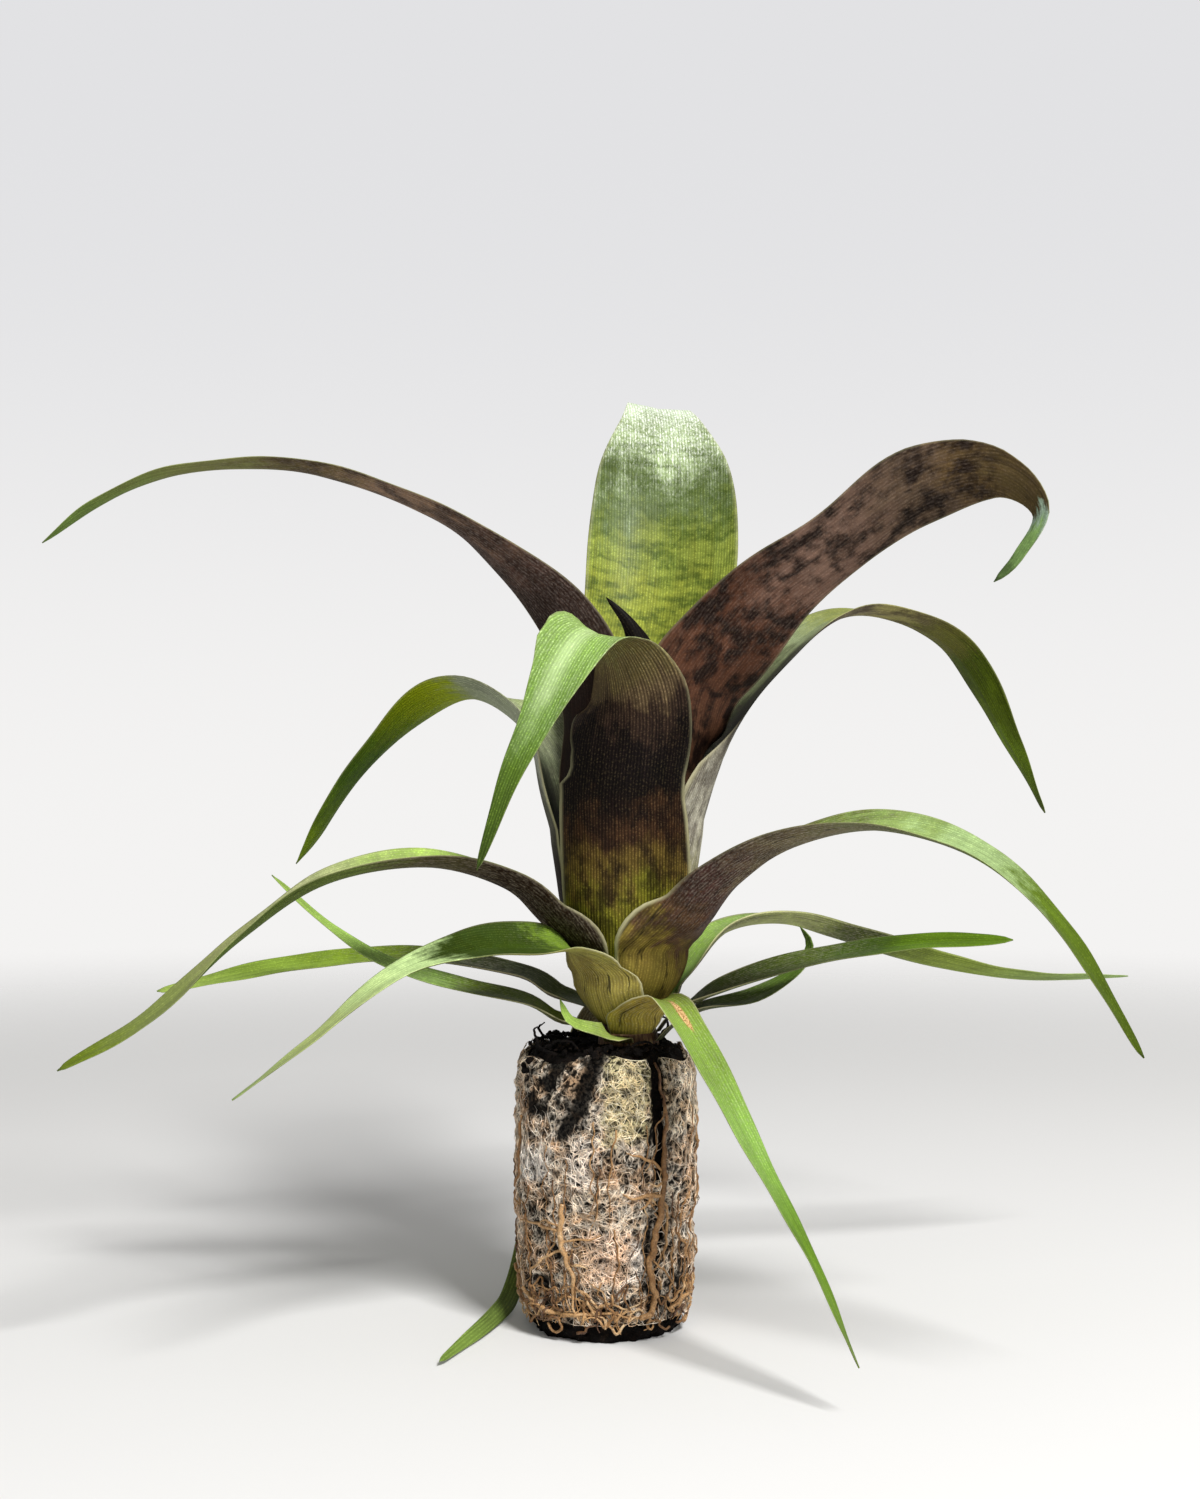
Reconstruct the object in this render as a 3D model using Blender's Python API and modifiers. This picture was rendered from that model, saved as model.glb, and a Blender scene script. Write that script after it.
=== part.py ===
"""A young vriesea standing in its fleece-wrapped rooting plug.

Metres, +Z up. The plug stands on its flat foot at the origin, the plant's
front faces -Y, and the leaves spread mostly along X.
"""

import math

import bpy
import numpy as np

MM = 0.001

# The plant's own axis, a little to the right of the middle of the plug.
TRUNK_X = 4.5
TRUNK_Y = 0.0

# The stem: a short cone that carries every leaf, sunk in a socket in the peat.
STEM_FOOT = 45.3
STEM_BURIED_RADIUS = 6.4
STEM_COLLAR = 56.8
STEM_COLLAR_RADIUS = 6.0
STEM_SHOULDER = 73.3
STEM_SHOULDER_RADIUS = 2.0
STEM_TIP = 76.5
SOCKET_DEPTH = 45.0
SOCKET_RADIUS = 6.7

# The leaf sheaths sit in layers round the stem, from 0 (innermost) to 10.
OUTERMOST_LAYER = 10
LAYER_PITCH = 0.9
LAYER_RISE = 1.65
SHEATH_SPREAD = 9.0
LEAF_THICKNESS = 0.45
LEAF_GAP = 0.3
TRUNK_HEIGHTS = (57, 66, 74, 84, 104, 124)
TRUNK_RADII = (12.5, 12.5, 15, 18, 21, 22)
CELL_ANGLE = 20.0
CELL_LENGTH = 8.5

# The plug: a peat core in a fleece wrap that stays open along a seam.
CORE_PROFILE = ((14.2, 0), (15.2, 3), (16, 12), (16.5, 26), (16.6, 40), (16.2, 52), (14.5, 55))
CORE_TOP = 56.0
CORE_SHOULDER_RADIUS = 8.5
CORE_SEGMENTS = 36
WRAP_HEIGHTS = (4, 12, 26, 40, 48, 52, 54.5)
WRAP_GAP = 0.35
WRAP_THICKNESS = 0.9
SEAM_ANGLE = 306.0
SEAM_HALF_OPENING = (1.5, 5.0)
RIM_WAVE = 1.0

# Each leaf: the side of the trunk it grows from, its layer, how far its sheath
# reaches round at the foot and at the top (degrees), the height where the blade
# leaves the trunk, the blade's route (mm), its width at even steps to the tip
# (mm), how far it is rolled about its own line at even steps (degrees), and the
# radius of its gutter at the start and at the tip (mm).
LEAVES = {
    "leaf_spear": dict(
        azimuth=0, layer=0, wrap=(250, 250), sheath_top=88,
        route=((6, 1, 104), (8, 1, 120), (8, 0, 131), (5, 0, 139), (0, 1, 145)),
        widths=(11, 10, 9, 6, 1), rolls=(0, 0), gutter=(2.6, 2.6), flare=10),
    "leaf_back_upright": dict(
        azimuth=84, layer=1, wrap=(150, 120), sheath_top=118,
        route=((9, 17, 136), (11, 22, 152), (12, 30, 171), (12, 42, 185), (12, 58, 192),
               (12, 75, 190), (12, 93, 178), (12, 106, 158)),
        widths=(27, 31, 33, 30, 20, 14, 11, 7, 1), rolls=(0, 0), gutter=(18, 60), flare=26),
    "leaf_upper_right": dict(
        azimuth=322, layer=2, wrap=(140, 92), sheath_top=112,
        route=((17, -9, 125), (23, -11, 134), (32, -15, 144), (42, -20, 152), (57, -29, 164),
               (71, -36, 166), (78, -40, 158), (75, -40, 149), (70, -38, 144)),
        widths=(25, 24, 20, 17, 15, 13, 9, 4, 1), rolls=(0, -48, -22, -60, -60, -30),
        gutter=(20, 30), flare=18),
    "leaf_upper_left": dict(
        azimuth=238, layer=3, wrap=(110, 64), sheath_top=110,
        route=((-3, -9, 127), (-8, -8, 139), (-18, -9, 150), (-33, -12, 161), (-58, -15, 168),
               (-82, -18, 168), (-98, -20, 163), (-108, -20, 153)),
        widths=(18, 14, 11, 11, 9, 6, 1), rolls=(0, -6, -48, -64, -60, -50), gutter=(12, 20),
        flare=18),
    "leaf_middle_right": dict(
        azimuth=28, layer=4, wrap=(120, 100), sheath_top=102,
        route=((23, 9, 117), (32, 14, 129), (46, 22, 140), (58, 27, 143), (75, 34, 136),
               (89, 39, 117), (96, 41, 101)),
        widths=(22, 19, 16, 13, 9, 1), rolls=(0, 0), gutter=(18, 18), flare=18),
    "leaf_middle_left": dict(
        azimuth=155, layer=5, wrap=(120, 100), sheath_top=100,
        route=((-13, 10, 112), (-18, 13, 120), (-27, 18, 127), (-39, 25, 125), (-54, 30, 111),
               (-66, 34, 90)),
        widths=(26, 22, 17, 13, 8, 1), rolls=(0, 0), gutter=(18, 18), flare=18),
    "leaf_front_folded": dict(
        azimuth=268, layer=6, wrap=(150, 96), sheath_top=106,
        route=((5, -19, 120), (4, -19, 128), (1, -21, 135), (-3, -26, 138), (-7, -31, 133),
               (-12, -36, 121), (-17, -38, 110), (-23, -39, 93)),
        widths=(27, 25, 20, 16, 10, 6, 4, 1), rolls=(0, -15, -55, -62, -55, -50, -45),
        gutter=(14, 30), flare=16),
    "leaf_lower_right": dict(
        azimuth=304, layer=7, wrap=(96, 94), sheath_top=76,
        route=((14, -16, 82), (23, -23, 89), (35, -32, 96), (50, -42, 100), (66, -53, 95),
               (79, -60, 82), (91, -64, 63)),
        widths=(18, 15, 12, 10, 7, 1), rolls=(0, 5, 20, 25, 25), gutter=(12, 20), flare=14),
    "leaf_lower_left": dict(
        azimuth=208, layer=7, wrap=(86, 86), sheath_top=74,
        route=((-11, -11, 83), (-19, -16, 90), (-34, -22, 94), (-53, -29, 92), (-69, -33, 82),
               (-84, -37, 67), (-99, -41, 57)),
        widths=(17, 13, 12, 10, 7, 1), rolls=(0, 0), gutter=(12, 20), flare=14),
    "leaf_back_arching": dict(
        azimuth=90, layer=7, wrap=(100, 90), sheath_top=76,
        route=((5, 22, 87), (6, 38, 95), (6, 57, 93), (6, 74, 80), (6, 86, 62)),
        widths=(18, 15, 13, 10, 7, 1), rolls=(0, 0), gutter=(14, 14), flare=16),
    "leaf_front_left": dict(
        azimuth=246, layer=8, wrap=(90, 86), sheath_top=71,
        route=((-7, -16, 76), (-15, -21, 79), (-25, -27, 78), (-38, -36, 72), (-52, -46, 62),
               (-65, -55, 54)),
        widths=(13, 11, 9, 6, 5, 1), rolls=(-20, -45, -32, -25, -20), gutter=(10, 16),
        flare=10),
    "leaf_right_trailing": dict(
        azimuth=15, layer=8, wrap=(64, 60), sheath_top=69,
        route=((24, 9, 77), (36, 17, 80), (50, 24, 77), (71, 33, 69), (92, 42, 65),
               (117, 50, 64)),
        widths=(11, 10, 9, 8, 6, 1), rolls=(0, 0, 10, 20), gutter=(9, 16), flare=12),
    "leaf_left_slender": dict(
        azimuth=163, layer=8, wrap=(56, 50), sheath_top=63,
        route=((-10, 5, 65), (-18, 8, 68), (-40, 12, 72), (-66, 15, 70), (-94, 19, 64)),
        widths=(9, 7, 6, 5, 4, 1), rolls=(0, -10, -14, -16), gutter=(8, 14), flare=10),
    "leaf_front_drooping": dict(
        azimuth=276, layer=9, wrap=(84, 84), sheath_top=63,
        route=((11, -14, 66), (15, -20, 62), (20, -29, 54), (27, -41, 41), (36, -52, 25),
               (43, -61, 9)),
        widths=(13, 8, 7, 6, 4, 3, 1), rolls=(25, 25, 12, 0), gutter=(10, 14), flare=7),
    "leaf_right_blunt": dict(
        azimuth=350, layer=9, wrap=(42, 40), sheath_top=62,
        route=((24, -6, 68), (40, -10, 73), (59, -16, 77), (78, -20, 78)),
        widths=(9, 8, 7, 6, 5, 3), rolls=(0, 18, 18, 12), gutter=(8, 16), flare=10),
    "leaf_left_upcurved": dict(
        azimuth=198, layer=9, wrap=(50, 48), sheath_top=60,
        route=((-9, -6, 61), (-16, -7, 64), (-28, -7, 67), (-43, -5, 71), (-55, -2, 78),
               (-67, 2, 89)),
        widths=(9, 7, 6, 5, 4, 1), rolls=(0, -28, -36, -25), gutter=(8, 14), flare=8),
    "leaf_back_low": dict(
        azimuth=84, layer=9, wrap=(64, 60), sheath_top=64,
        route=((7, 20, 70), (8, 37, 72), (9, 54, 65), (9, 66, 52)),
        widths=(11, 9, 8, 6, 1), rolls=(0, 0), gutter=(9, 14), flare=10),
    "leaf_basal_curl": dict(
        azimuth=250, layer=10, wrap=(56, 50), sheath_top=58,
        route=((-2, -12, 60), (-7, -13, 62), (-9, -11, 66)),
        widths=(7, 6, 4, 1), rolls=(-50, -50), gutter=(6, 6), flare=4),
    "leaf_right_curled": dict(
        azimuth=344, layer=10, wrap=(40, 36), sheath_top=60,
        route=((19, -3, 63), (29, -1, 65), (38, 1, 70), (41, 3, 75), (39, 3, 79)),
        widths=(8, 7, 6, 4, 1), rolls=(0, 30, 20), gutter=(8, 12), flare=6),
    "leaf_back_drooping": dict(
        azimuth=110, layer=10, wrap=(44, 40), sheath_top=60,
        route=((1, 16, 62), (-3, 21, 57), (-8, 23, 44), (-13, 22, 28), (-16, 19, 14),
               (-19, 11, 4), (-22, -2, 2), (-31, -30, 1)),
        widths=(7, 7, 6, 5, 4, 3, 1), rolls=(0, 0), gutter=(8, 12), flare=6),
}

# Each root: its thickness across (mm) and where it runs on the wrap, as angle
# round the plug (degrees) and height (mm).
ROOTS = {
    "root_seam": (1.7, ((308, 51), (304, 40), (308, 29), (304, 18), (307, 7))),
    "root_front_left": (1.3, ((243, 29), (247, 22), (243, 15), (249, 9))),
    "root_left": (1.1, ((184, 36), (188, 28), (182, 20), (189, 12))),
    "root_right": (1.1, ((352, 42), (356, 32), (350, 22), (355, 13))),
    "root_ring_front": (1.5, ((204, 9), (224, 6), (248, 6), (272, 7), (292, 6))),
    "root_ring_right": (1.4, ((318, 6), (336, 8), (354, 7), (12, 9))),
    "root_back": (1.5, ((90, 46), (86, 35), (91, 24), (87, 13))),
    "root_back_left": (1.2, ((138, 30), (143, 22), (138, 13))),
    "root_back_right": (1.2, ((44, 36), (39, 26), (45, 14))),
    "root_ring_back": (1.4, ((38, 8), (64, 6), (96, 7), (128, 6))),
}

# Name, colour and roughness of each kind of surface.
SURFACES = {
    "leaf": ((0.16, 0.2, 0.06), 0.45),
    "leaf_dark": ((0.09, 0.06, 0.05), 0.45),
    "stem": ((0.12, 0.07, 0.03), 0.7),
    "peat": ((0.012, 0.009, 0.007), 0.95),
    "fleece": ((0.62, 0.55, 0.42), 0.95),
    "root": ((0.32, 0.15, 0.05), 0.6),
}
DARK_LEAVES = ("leaf_spear", "leaf_front_folded", "leaf_lower_left", "leaf_lower_right")


def clear_scene():
    for item in list(bpy.data.objects):
        bpy.data.objects.remove(item, do_unlink=True)
    for group in list(bpy.data.collections):
        bpy.data.collections.remove(group)


def new_collection(name):
    group = bpy.data.collections.new(name)
    bpy.context.scene.collection.children.link(group)
    return group


def new_material(name, surface):
    colour, roughness = SURFACES[surface]
    material = bpy.data.materials.new(name)
    material.use_nodes = True
    shader = material.node_tree.nodes["Principled BSDF"]
    shader.inputs["Base Color"].default_value = (*colour, 1)
    shader.inputs["Roughness"].default_value = roughness
    return material


def add_mesh(name, points, faces, surface, group):
    mesh = bpy.data.meshes.new(name)
    mesh.from_pydata([tuple(point) for point in np.asarray(points) * MM], [], faces)
    mesh.update()
    item = bpy.data.objects.new(name, mesh)
    group.objects.link(item)
    mesh.materials.append(new_material(name, surface))
    return item


def smooth_step(value):
    value = np.clip(value, 0, 1)
    return value * value * (3 - 2 * value)


def curve_through(knots, steps):
    """A smooth line through every knot, as steps samples for each gap between knots."""
    knots = np.asarray(knots, float)
    before = 2 * knots[0] - knots[1]
    after = 2 * knots[-1] - knots[-2]
    padded = np.vstack([before, knots, after])
    line = []
    for index in range(len(knots) - 1):
        a, b, c, d = padded[index:index + 4]
        for t in np.arange(steps) / steps:
            line.append(0.5 * (2 * b + (c - a) * t + (2 * a - 5 * b + 4 * c - d) * t ** 2
                               + (3 * b - a - 3 * c + d) * t ** 3))
    line.append(knots[-1])
    return np.array(line)


def lengths_along(line):
    steps = np.linalg.norm(np.diff(line, axis=0), axis=1)
    return np.concatenate([[0], np.cumsum(steps)])


def stem_radius(height):
    return np.interp(
        height, (STEM_COLLAR, STEM_SHOULDER), (STEM_COLLAR_RADIUS, STEM_SHOULDER_RADIUS))


def sheath_foot(layer):
    return STEM_COLLAR + LAYER_RISE * (OUTERMOST_LAYER - layer)


def sheath_radius(height, layer):
    """How far a layer of sheaths stands from the trunk's axis at one height."""
    foot = sheath_foot(layer)
    at_stem = stem_radius(foot) + LEAF_GAP + LEAF_THICKNESS / 2
    if layer == 0:
        return at_stem
    full = np.interp(height, TRUNK_HEIGHTS, TRUNK_RADII)
    full = full - LAYER_PITCH * (OUTERMOST_LAYER - layer)
    rise = np.clip((height - foot) / SHEATH_SPREAD, 0, 1)
    return at_stem + (full - at_stem) * math.sin(rise * math.pi / 2)


def leaf_line(leaf):
    """The middle line of a leaf, up inside its layer and then along its route."""
    turn = math.radians(leaf["azimuth"])
    foot = sheath_foot(leaf["layer"])
    heights = np.linspace(foot, leaf["sheath_top"], 2 + int((leaf["sheath_top"] - foot) / 4))
    knots = []
    for height in heights:
        radius = sheath_radius(height, leaf["layer"])
        knots.append((TRUNK_X + radius * math.cos(turn), TRUNK_Y + radius * math.sin(turn), height))
    line = curve_through(knots + list(leaf["route"]), 12)
    return line, 12 * (len(heights) - 1)


def leaf_frames(line, azimuth):
    """The direction along the leaf, across it and out of its upper face."""
    along = np.gradient(line, axis=0)
    along /= np.linalg.norm(along, axis=1, keepdims=True)
    turn = math.radians(azimuth)
    across = np.array((-math.sin(turn), math.cos(turn), 0))
    sides = []
    for direction in along:
        across = across - direction * across.dot(direction)
        across /= np.linalg.norm(across)
        sides.append(across)
    sides = np.array(sides)
    return along, sides, np.cross(along, sides)


def leaf_grid(leaf, cell_length, cell_angle):
    """Points of the leaf's middle surface, one row for each step from foot to tip."""
    line, top = leaf_line(leaf)
    along, sides, faces = leaf_frames(line, leaf["azimuth"])
    travelled = lengths_along(line)
    sheath_length = travelled[top]
    blade_length = travelled[-1] - sheath_length
    rows = round(travelled[-1] / cell_length)
    columns = 2 * math.ceil(leaf["wrap"][0] / cell_angle / 2)
    turn = math.radians(leaf["azimuth"])
    width_line = curve_through([(w, 0) for w in leaf["widths"]], 10)[:, 0]
    grid = []
    for distance in np.linspace(0, travelled[-1], rows + 1):
        centre = np.array([np.interp(distance, travelled, line[:, k]) for k in range(3)])
        side = np.array([np.interp(distance, travelled, sides[:, k]) for k in range(3)])
        face = np.array([np.interp(distance, travelled, faces[:, k]) for k in range(3)])
        blade = max(0, (distance - sheath_length) / blade_length)
        roll = np.interp(blade, np.linspace(0, 1, len(leaf["rolls"])), leaf["rolls"])
        roll = math.radians(roll)
        side, face = (side * math.cos(roll) + face * math.sin(roll),
                      face * math.cos(roll) - side * math.sin(roll))
        held = 1 - smooth_step((distance - sheath_length) / leaf["flare"])
        to_axis = np.array((TRUNK_X - centre[0], TRUNK_Y - centre[1], 0))
        radius = np.linalg.norm(to_axis)
        inward = to_axis / radius
        if leaf["layer"] == 0:
            inward = -np.array((math.cos(turn), math.sin(turn), 0))
            radius = leaf["gutter"][0]
        round_trunk = np.array((inward[1], -inward[0], 0))
        side = side * (1 - held) + round_trunk * held
        side /= np.linalg.norm(side)
        face = face * (1 - held) + inward * held
        face -= side * face.dot(side)
        face /= np.linalg.norm(face)
        gutter = leaf["gutter"][0] * (1 - blade) + leaf["gutter"][1] * blade
        bend = held / radius + (1 - held) / gutter
        width = np.interp(blade, np.linspace(0, 1, len(width_line)), width_line)
        climb = min(1, distance / sheath_length)
        wrap = leaf["wrap"][0] * (1 - climb) + leaf["wrap"][1] * climb
        width = held * math.radians(wrap) * radius + (1 - held) * width
        row = []
        for step in np.linspace(-0.5, 0.5, columns + 1):
            angle = step * width * bend
            row.append(centre + (side * math.sin(angle) + face * (1 - math.cos(angle))) / bend)
        grid.append(row)
    return np.array(grid)


def grid_faces(rows, columns):
    faces = []
    for row in range(rows - 1):
        for column in range(columns - 1):
            corner = row * columns + column
            faces.append((corner, corner + 1, corner + columns + 1, corner + columns))
    return faces


def thicken(item, thickness, offset):
    shell = item.modifiers.new("thickness", "SOLIDIFY")
    shell.thickness = thickness * MM
    shell.offset = offset


def add_leaf(name, leaf, group):
    grid = leaf_grid(leaf, CELL_LENGTH, CELL_ANGLE)
    rows, columns = grid.shape[:2]
    surface = "leaf_dark" if name in DARK_LEAVES else "leaf"
    item = add_mesh(name, grid.reshape(-1, 3), grid_faces(rows, columns), surface, group)
    thicken(item, LEAF_THICKNESS, 0)
    return item


def add_turned(name, profile, segments, centre, surface, group):
    """A solid turned about an upright axis from (radius, height) points, foot first."""
    points = [(centre[0], centre[1], profile[0][1])]
    for radius, height in profile:
        for step in range(segments):
            angle = math.tau * step / segments
            points.append((centre[0] + radius * math.cos(angle),
                           centre[1] + radius * math.sin(angle), height))
    points.append((centre[0], centre[1], profile[-1][1]))
    faces = []
    last = len(points) - 1
    for step in range(segments):
        beside = (step + 1) % segments
        faces.append((0, 1 + beside, 1 + step))
        for ring in range(len(profile) - 1):
            low = 1 + ring * segments
            high = low + segments
            faces.append((low + step, low + beside, high + beside, high + step))
        top = last - segments
        faces.append((top + step, top + beside, last))
    return add_mesh(name, points, faces, surface, group)


def core_radius(height):
    radii, heights = zip(*CORE_PROFILE)
    return np.interp(height, heights, radii)


def add_core(group, cutters):
    profile = CORE_PROFILE + ((CORE_SHOULDER_RADIUS, CORE_TOP),)
    core = add_turned("plug_core", profile, CORE_SEGMENTS, (0, 0), "peat", group)
    socket = ((SOCKET_RADIUS, SOCKET_DEPTH), (SOCKET_RADIUS, CORE_TOP + 4))
    cutter = add_turned("stem_socket", socket, 24, (TRUNK_X, TRUNK_Y), "peat", cutters)
    cutter.hide_render = True
    cutter.display_type = "WIRE"
    cut = core.modifiers.new("socket", "BOOLEAN")
    cut.operation = "DIFFERENCE"
    cut.solver = "EXACT"
    cut.object = cutter
    return core


def add_wrap(group):
    """The fleece, one sheet bent round the core with its two edges apart at the seam."""
    rows = []
    for level in WRAP_HEIGHTS:
        part = (level - WRAP_HEIGHTS[0]) / (WRAP_HEIGHTS[-1] - WRAP_HEIGHTS[0])
        opening = SEAM_HALF_OPENING[0] * (1 - part) + SEAM_HALF_OPENING[1] * part
        row = []
        for angle in np.linspace(SEAM_ANGLE + opening, SEAM_ANGLE + 360 - opening, CORE_SEGMENTS):
            turn = math.radians(angle)
            wave = RIM_WAVE * (level == WRAP_HEIGHTS[-1])
            height = level + wave * (math.sin(3 * turn) + 0.6 * math.sin(7 * turn + 1))
            radius = core_radius(height) + WRAP_GAP
            row.append((radius * math.cos(turn), radius * math.sin(turn), height))
        rows.append(row)
    grid = np.array(rows)
    faces = grid_faces(len(rows), CORE_SEGMENTS)
    wrap = add_mesh("plug_wrap", grid.reshape(-1, 3), faces, "fleece", group)
    thicken(wrap, WRAP_THICKNESS, 1)
    return wrap


def add_root(name, thickness, path, group):
    """A root lying on the wrap, as a round cord with closed ends."""
    path = np.array([(math.radians(angle), height) for angle, height in path])
    path[:, 0] = np.unwrap(path[:, 0])
    line = curve_through(path, 3)
    curve = bpy.data.curves.new(name, "CURVE")
    curve.dimensions = "3D"
    curve.bevel_depth = thickness / 2 * MM
    curve.bevel_resolution = 1
    curve.use_fill_caps = True
    spline = curve.splines.new("POLY")
    spline.points.add(len(line) - 1)
    stand_off = WRAP_GAP + WRAP_THICKNESS + LEAF_GAP + thickness / 2
    for point, (turn, height) in zip(spline.points, line):
        radius = (core_radius(height) + stand_off) * MM
        point.co = (radius * math.cos(turn), radius * math.sin(turn), height * MM, 1)
    item = bpy.data.objects.new(name, curve)
    group.objects.link(item)
    curve.materials.append(new_material(name, "root"))
    return item


def add_stem(group):
    profile = (
        (STEM_BURIED_RADIUS - 1, STEM_FOOT), (STEM_BURIED_RADIUS, STEM_FOOT + 1),
        (STEM_BURIED_RADIUS, CORE_TOP - 3), (STEM_COLLAR_RADIUS, STEM_COLLAR),
        (STEM_SHOULDER_RADIUS, STEM_SHOULDER), (STEM_SHOULDER_RADIUS / 2, STEM_TIP))
    return add_turned("stem", profile, 20, (TRUNK_X, TRUNK_Y), "stem", group)


def build():
    clear_scene()
    plant = new_collection("vriesea")
    cutters = new_collection("cutters")
    add_core(plant, cutters)
    add_wrap(plant)
    add_stem(plant)
    for name, leaf in LEAVES.items():
        add_leaf(name, leaf, plant)
    for name, (thickness, path) in ROOTS.items():
        add_root(name, thickness, path, plant)


build()
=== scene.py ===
import math

import bpy
import numpy as np
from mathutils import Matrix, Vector, noise


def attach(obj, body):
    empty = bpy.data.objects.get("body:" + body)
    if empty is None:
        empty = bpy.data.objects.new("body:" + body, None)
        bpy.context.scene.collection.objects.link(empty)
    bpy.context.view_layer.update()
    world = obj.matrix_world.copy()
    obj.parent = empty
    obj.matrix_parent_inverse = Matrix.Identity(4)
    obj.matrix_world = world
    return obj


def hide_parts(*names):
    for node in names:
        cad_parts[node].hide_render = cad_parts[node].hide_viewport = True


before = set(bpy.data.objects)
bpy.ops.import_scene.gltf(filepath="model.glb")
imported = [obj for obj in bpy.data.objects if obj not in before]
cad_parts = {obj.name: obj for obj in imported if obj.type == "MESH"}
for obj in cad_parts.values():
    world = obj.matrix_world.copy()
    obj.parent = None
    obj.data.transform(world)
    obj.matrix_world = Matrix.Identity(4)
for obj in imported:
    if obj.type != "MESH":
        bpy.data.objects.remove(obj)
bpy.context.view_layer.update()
mm = 0.001
print("frame loaded with", len(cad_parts), "nodes")

# the trunk's axis and how the sheaths pack round it, all in mm
trunk = dict(
    x=4.5, y=0.0,
    heights=(57, 66, 74, 84, 104, 124), radii=(12.5, 12.5, 15, 18, 21, 22),
    stemFoot=56.8, stemRadius=6.0, stemTop=73.3, stemTopRadius=2.0,
    outerLayer=10, layerPitch=0.9, layerRise=1.65, spread=9.0, gap=0.3, halfBlade=0.225)

# how finely a leaf is built and how thick its blade is, in mm
leafBuild = dict(
    rowLength=1.5, columnWidth=1.3, crowding=0.55, thickness=0.46, edgeThickness=0.16,
    tipThinning=0.4, crease=0.22, creaseWidth=0.9, ripple=0.12, rippleLength=17.0,
    bluntTip=1.2, shortestTip=3.0, tipWidth=0.06)

# what every leaf's skin has unless its own look says otherwise: its colours are given with
# their share of the leaf's length; bands, blotches, silver and rim (painted shade along the near
# edge) with their strength and where they start and end; pale with its strength and end; the
# painted highlight with its strength, middle and half width in mm, and where it starts and ends
plainLook = dict(
    upper=((0.0, "#6f7c38"), (0.3, "#6f8c3a"), (0.55, "#8fb058"), (1.0, "#7f9c46")),
    under=((0.0, "#6a5a3c"), (0.3, "#5f5c38"), (0.6, "#677a3a"), (1.0, "#70883c")),
    bands=(0.25, 0.1, 0.7), bandColour="#3c5424",
    blotches=(0.35, 0.0, 0.45), blotchColour="#2a1a14",
    silver=(0.25, 0.0, 0.6), silverColour="#a8a594",
    pale=(0.4, 0.3), ribs=0.6, veins=0.3, rough=0.5, shine=0.24, drift=0.1, streaks=0.07,
    lean=0.0, speck=0.5, rim=(0.0, 0.0, 1.0),
    paintedHighlight=(0.0, 0.0, 2.0, 0.0, 1.0), paintedHighlightColour="#dcf0b8", speckColour="#342e1c",
    paleColour="#c6c096", shadedEdgeColour="#1a1410")

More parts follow.
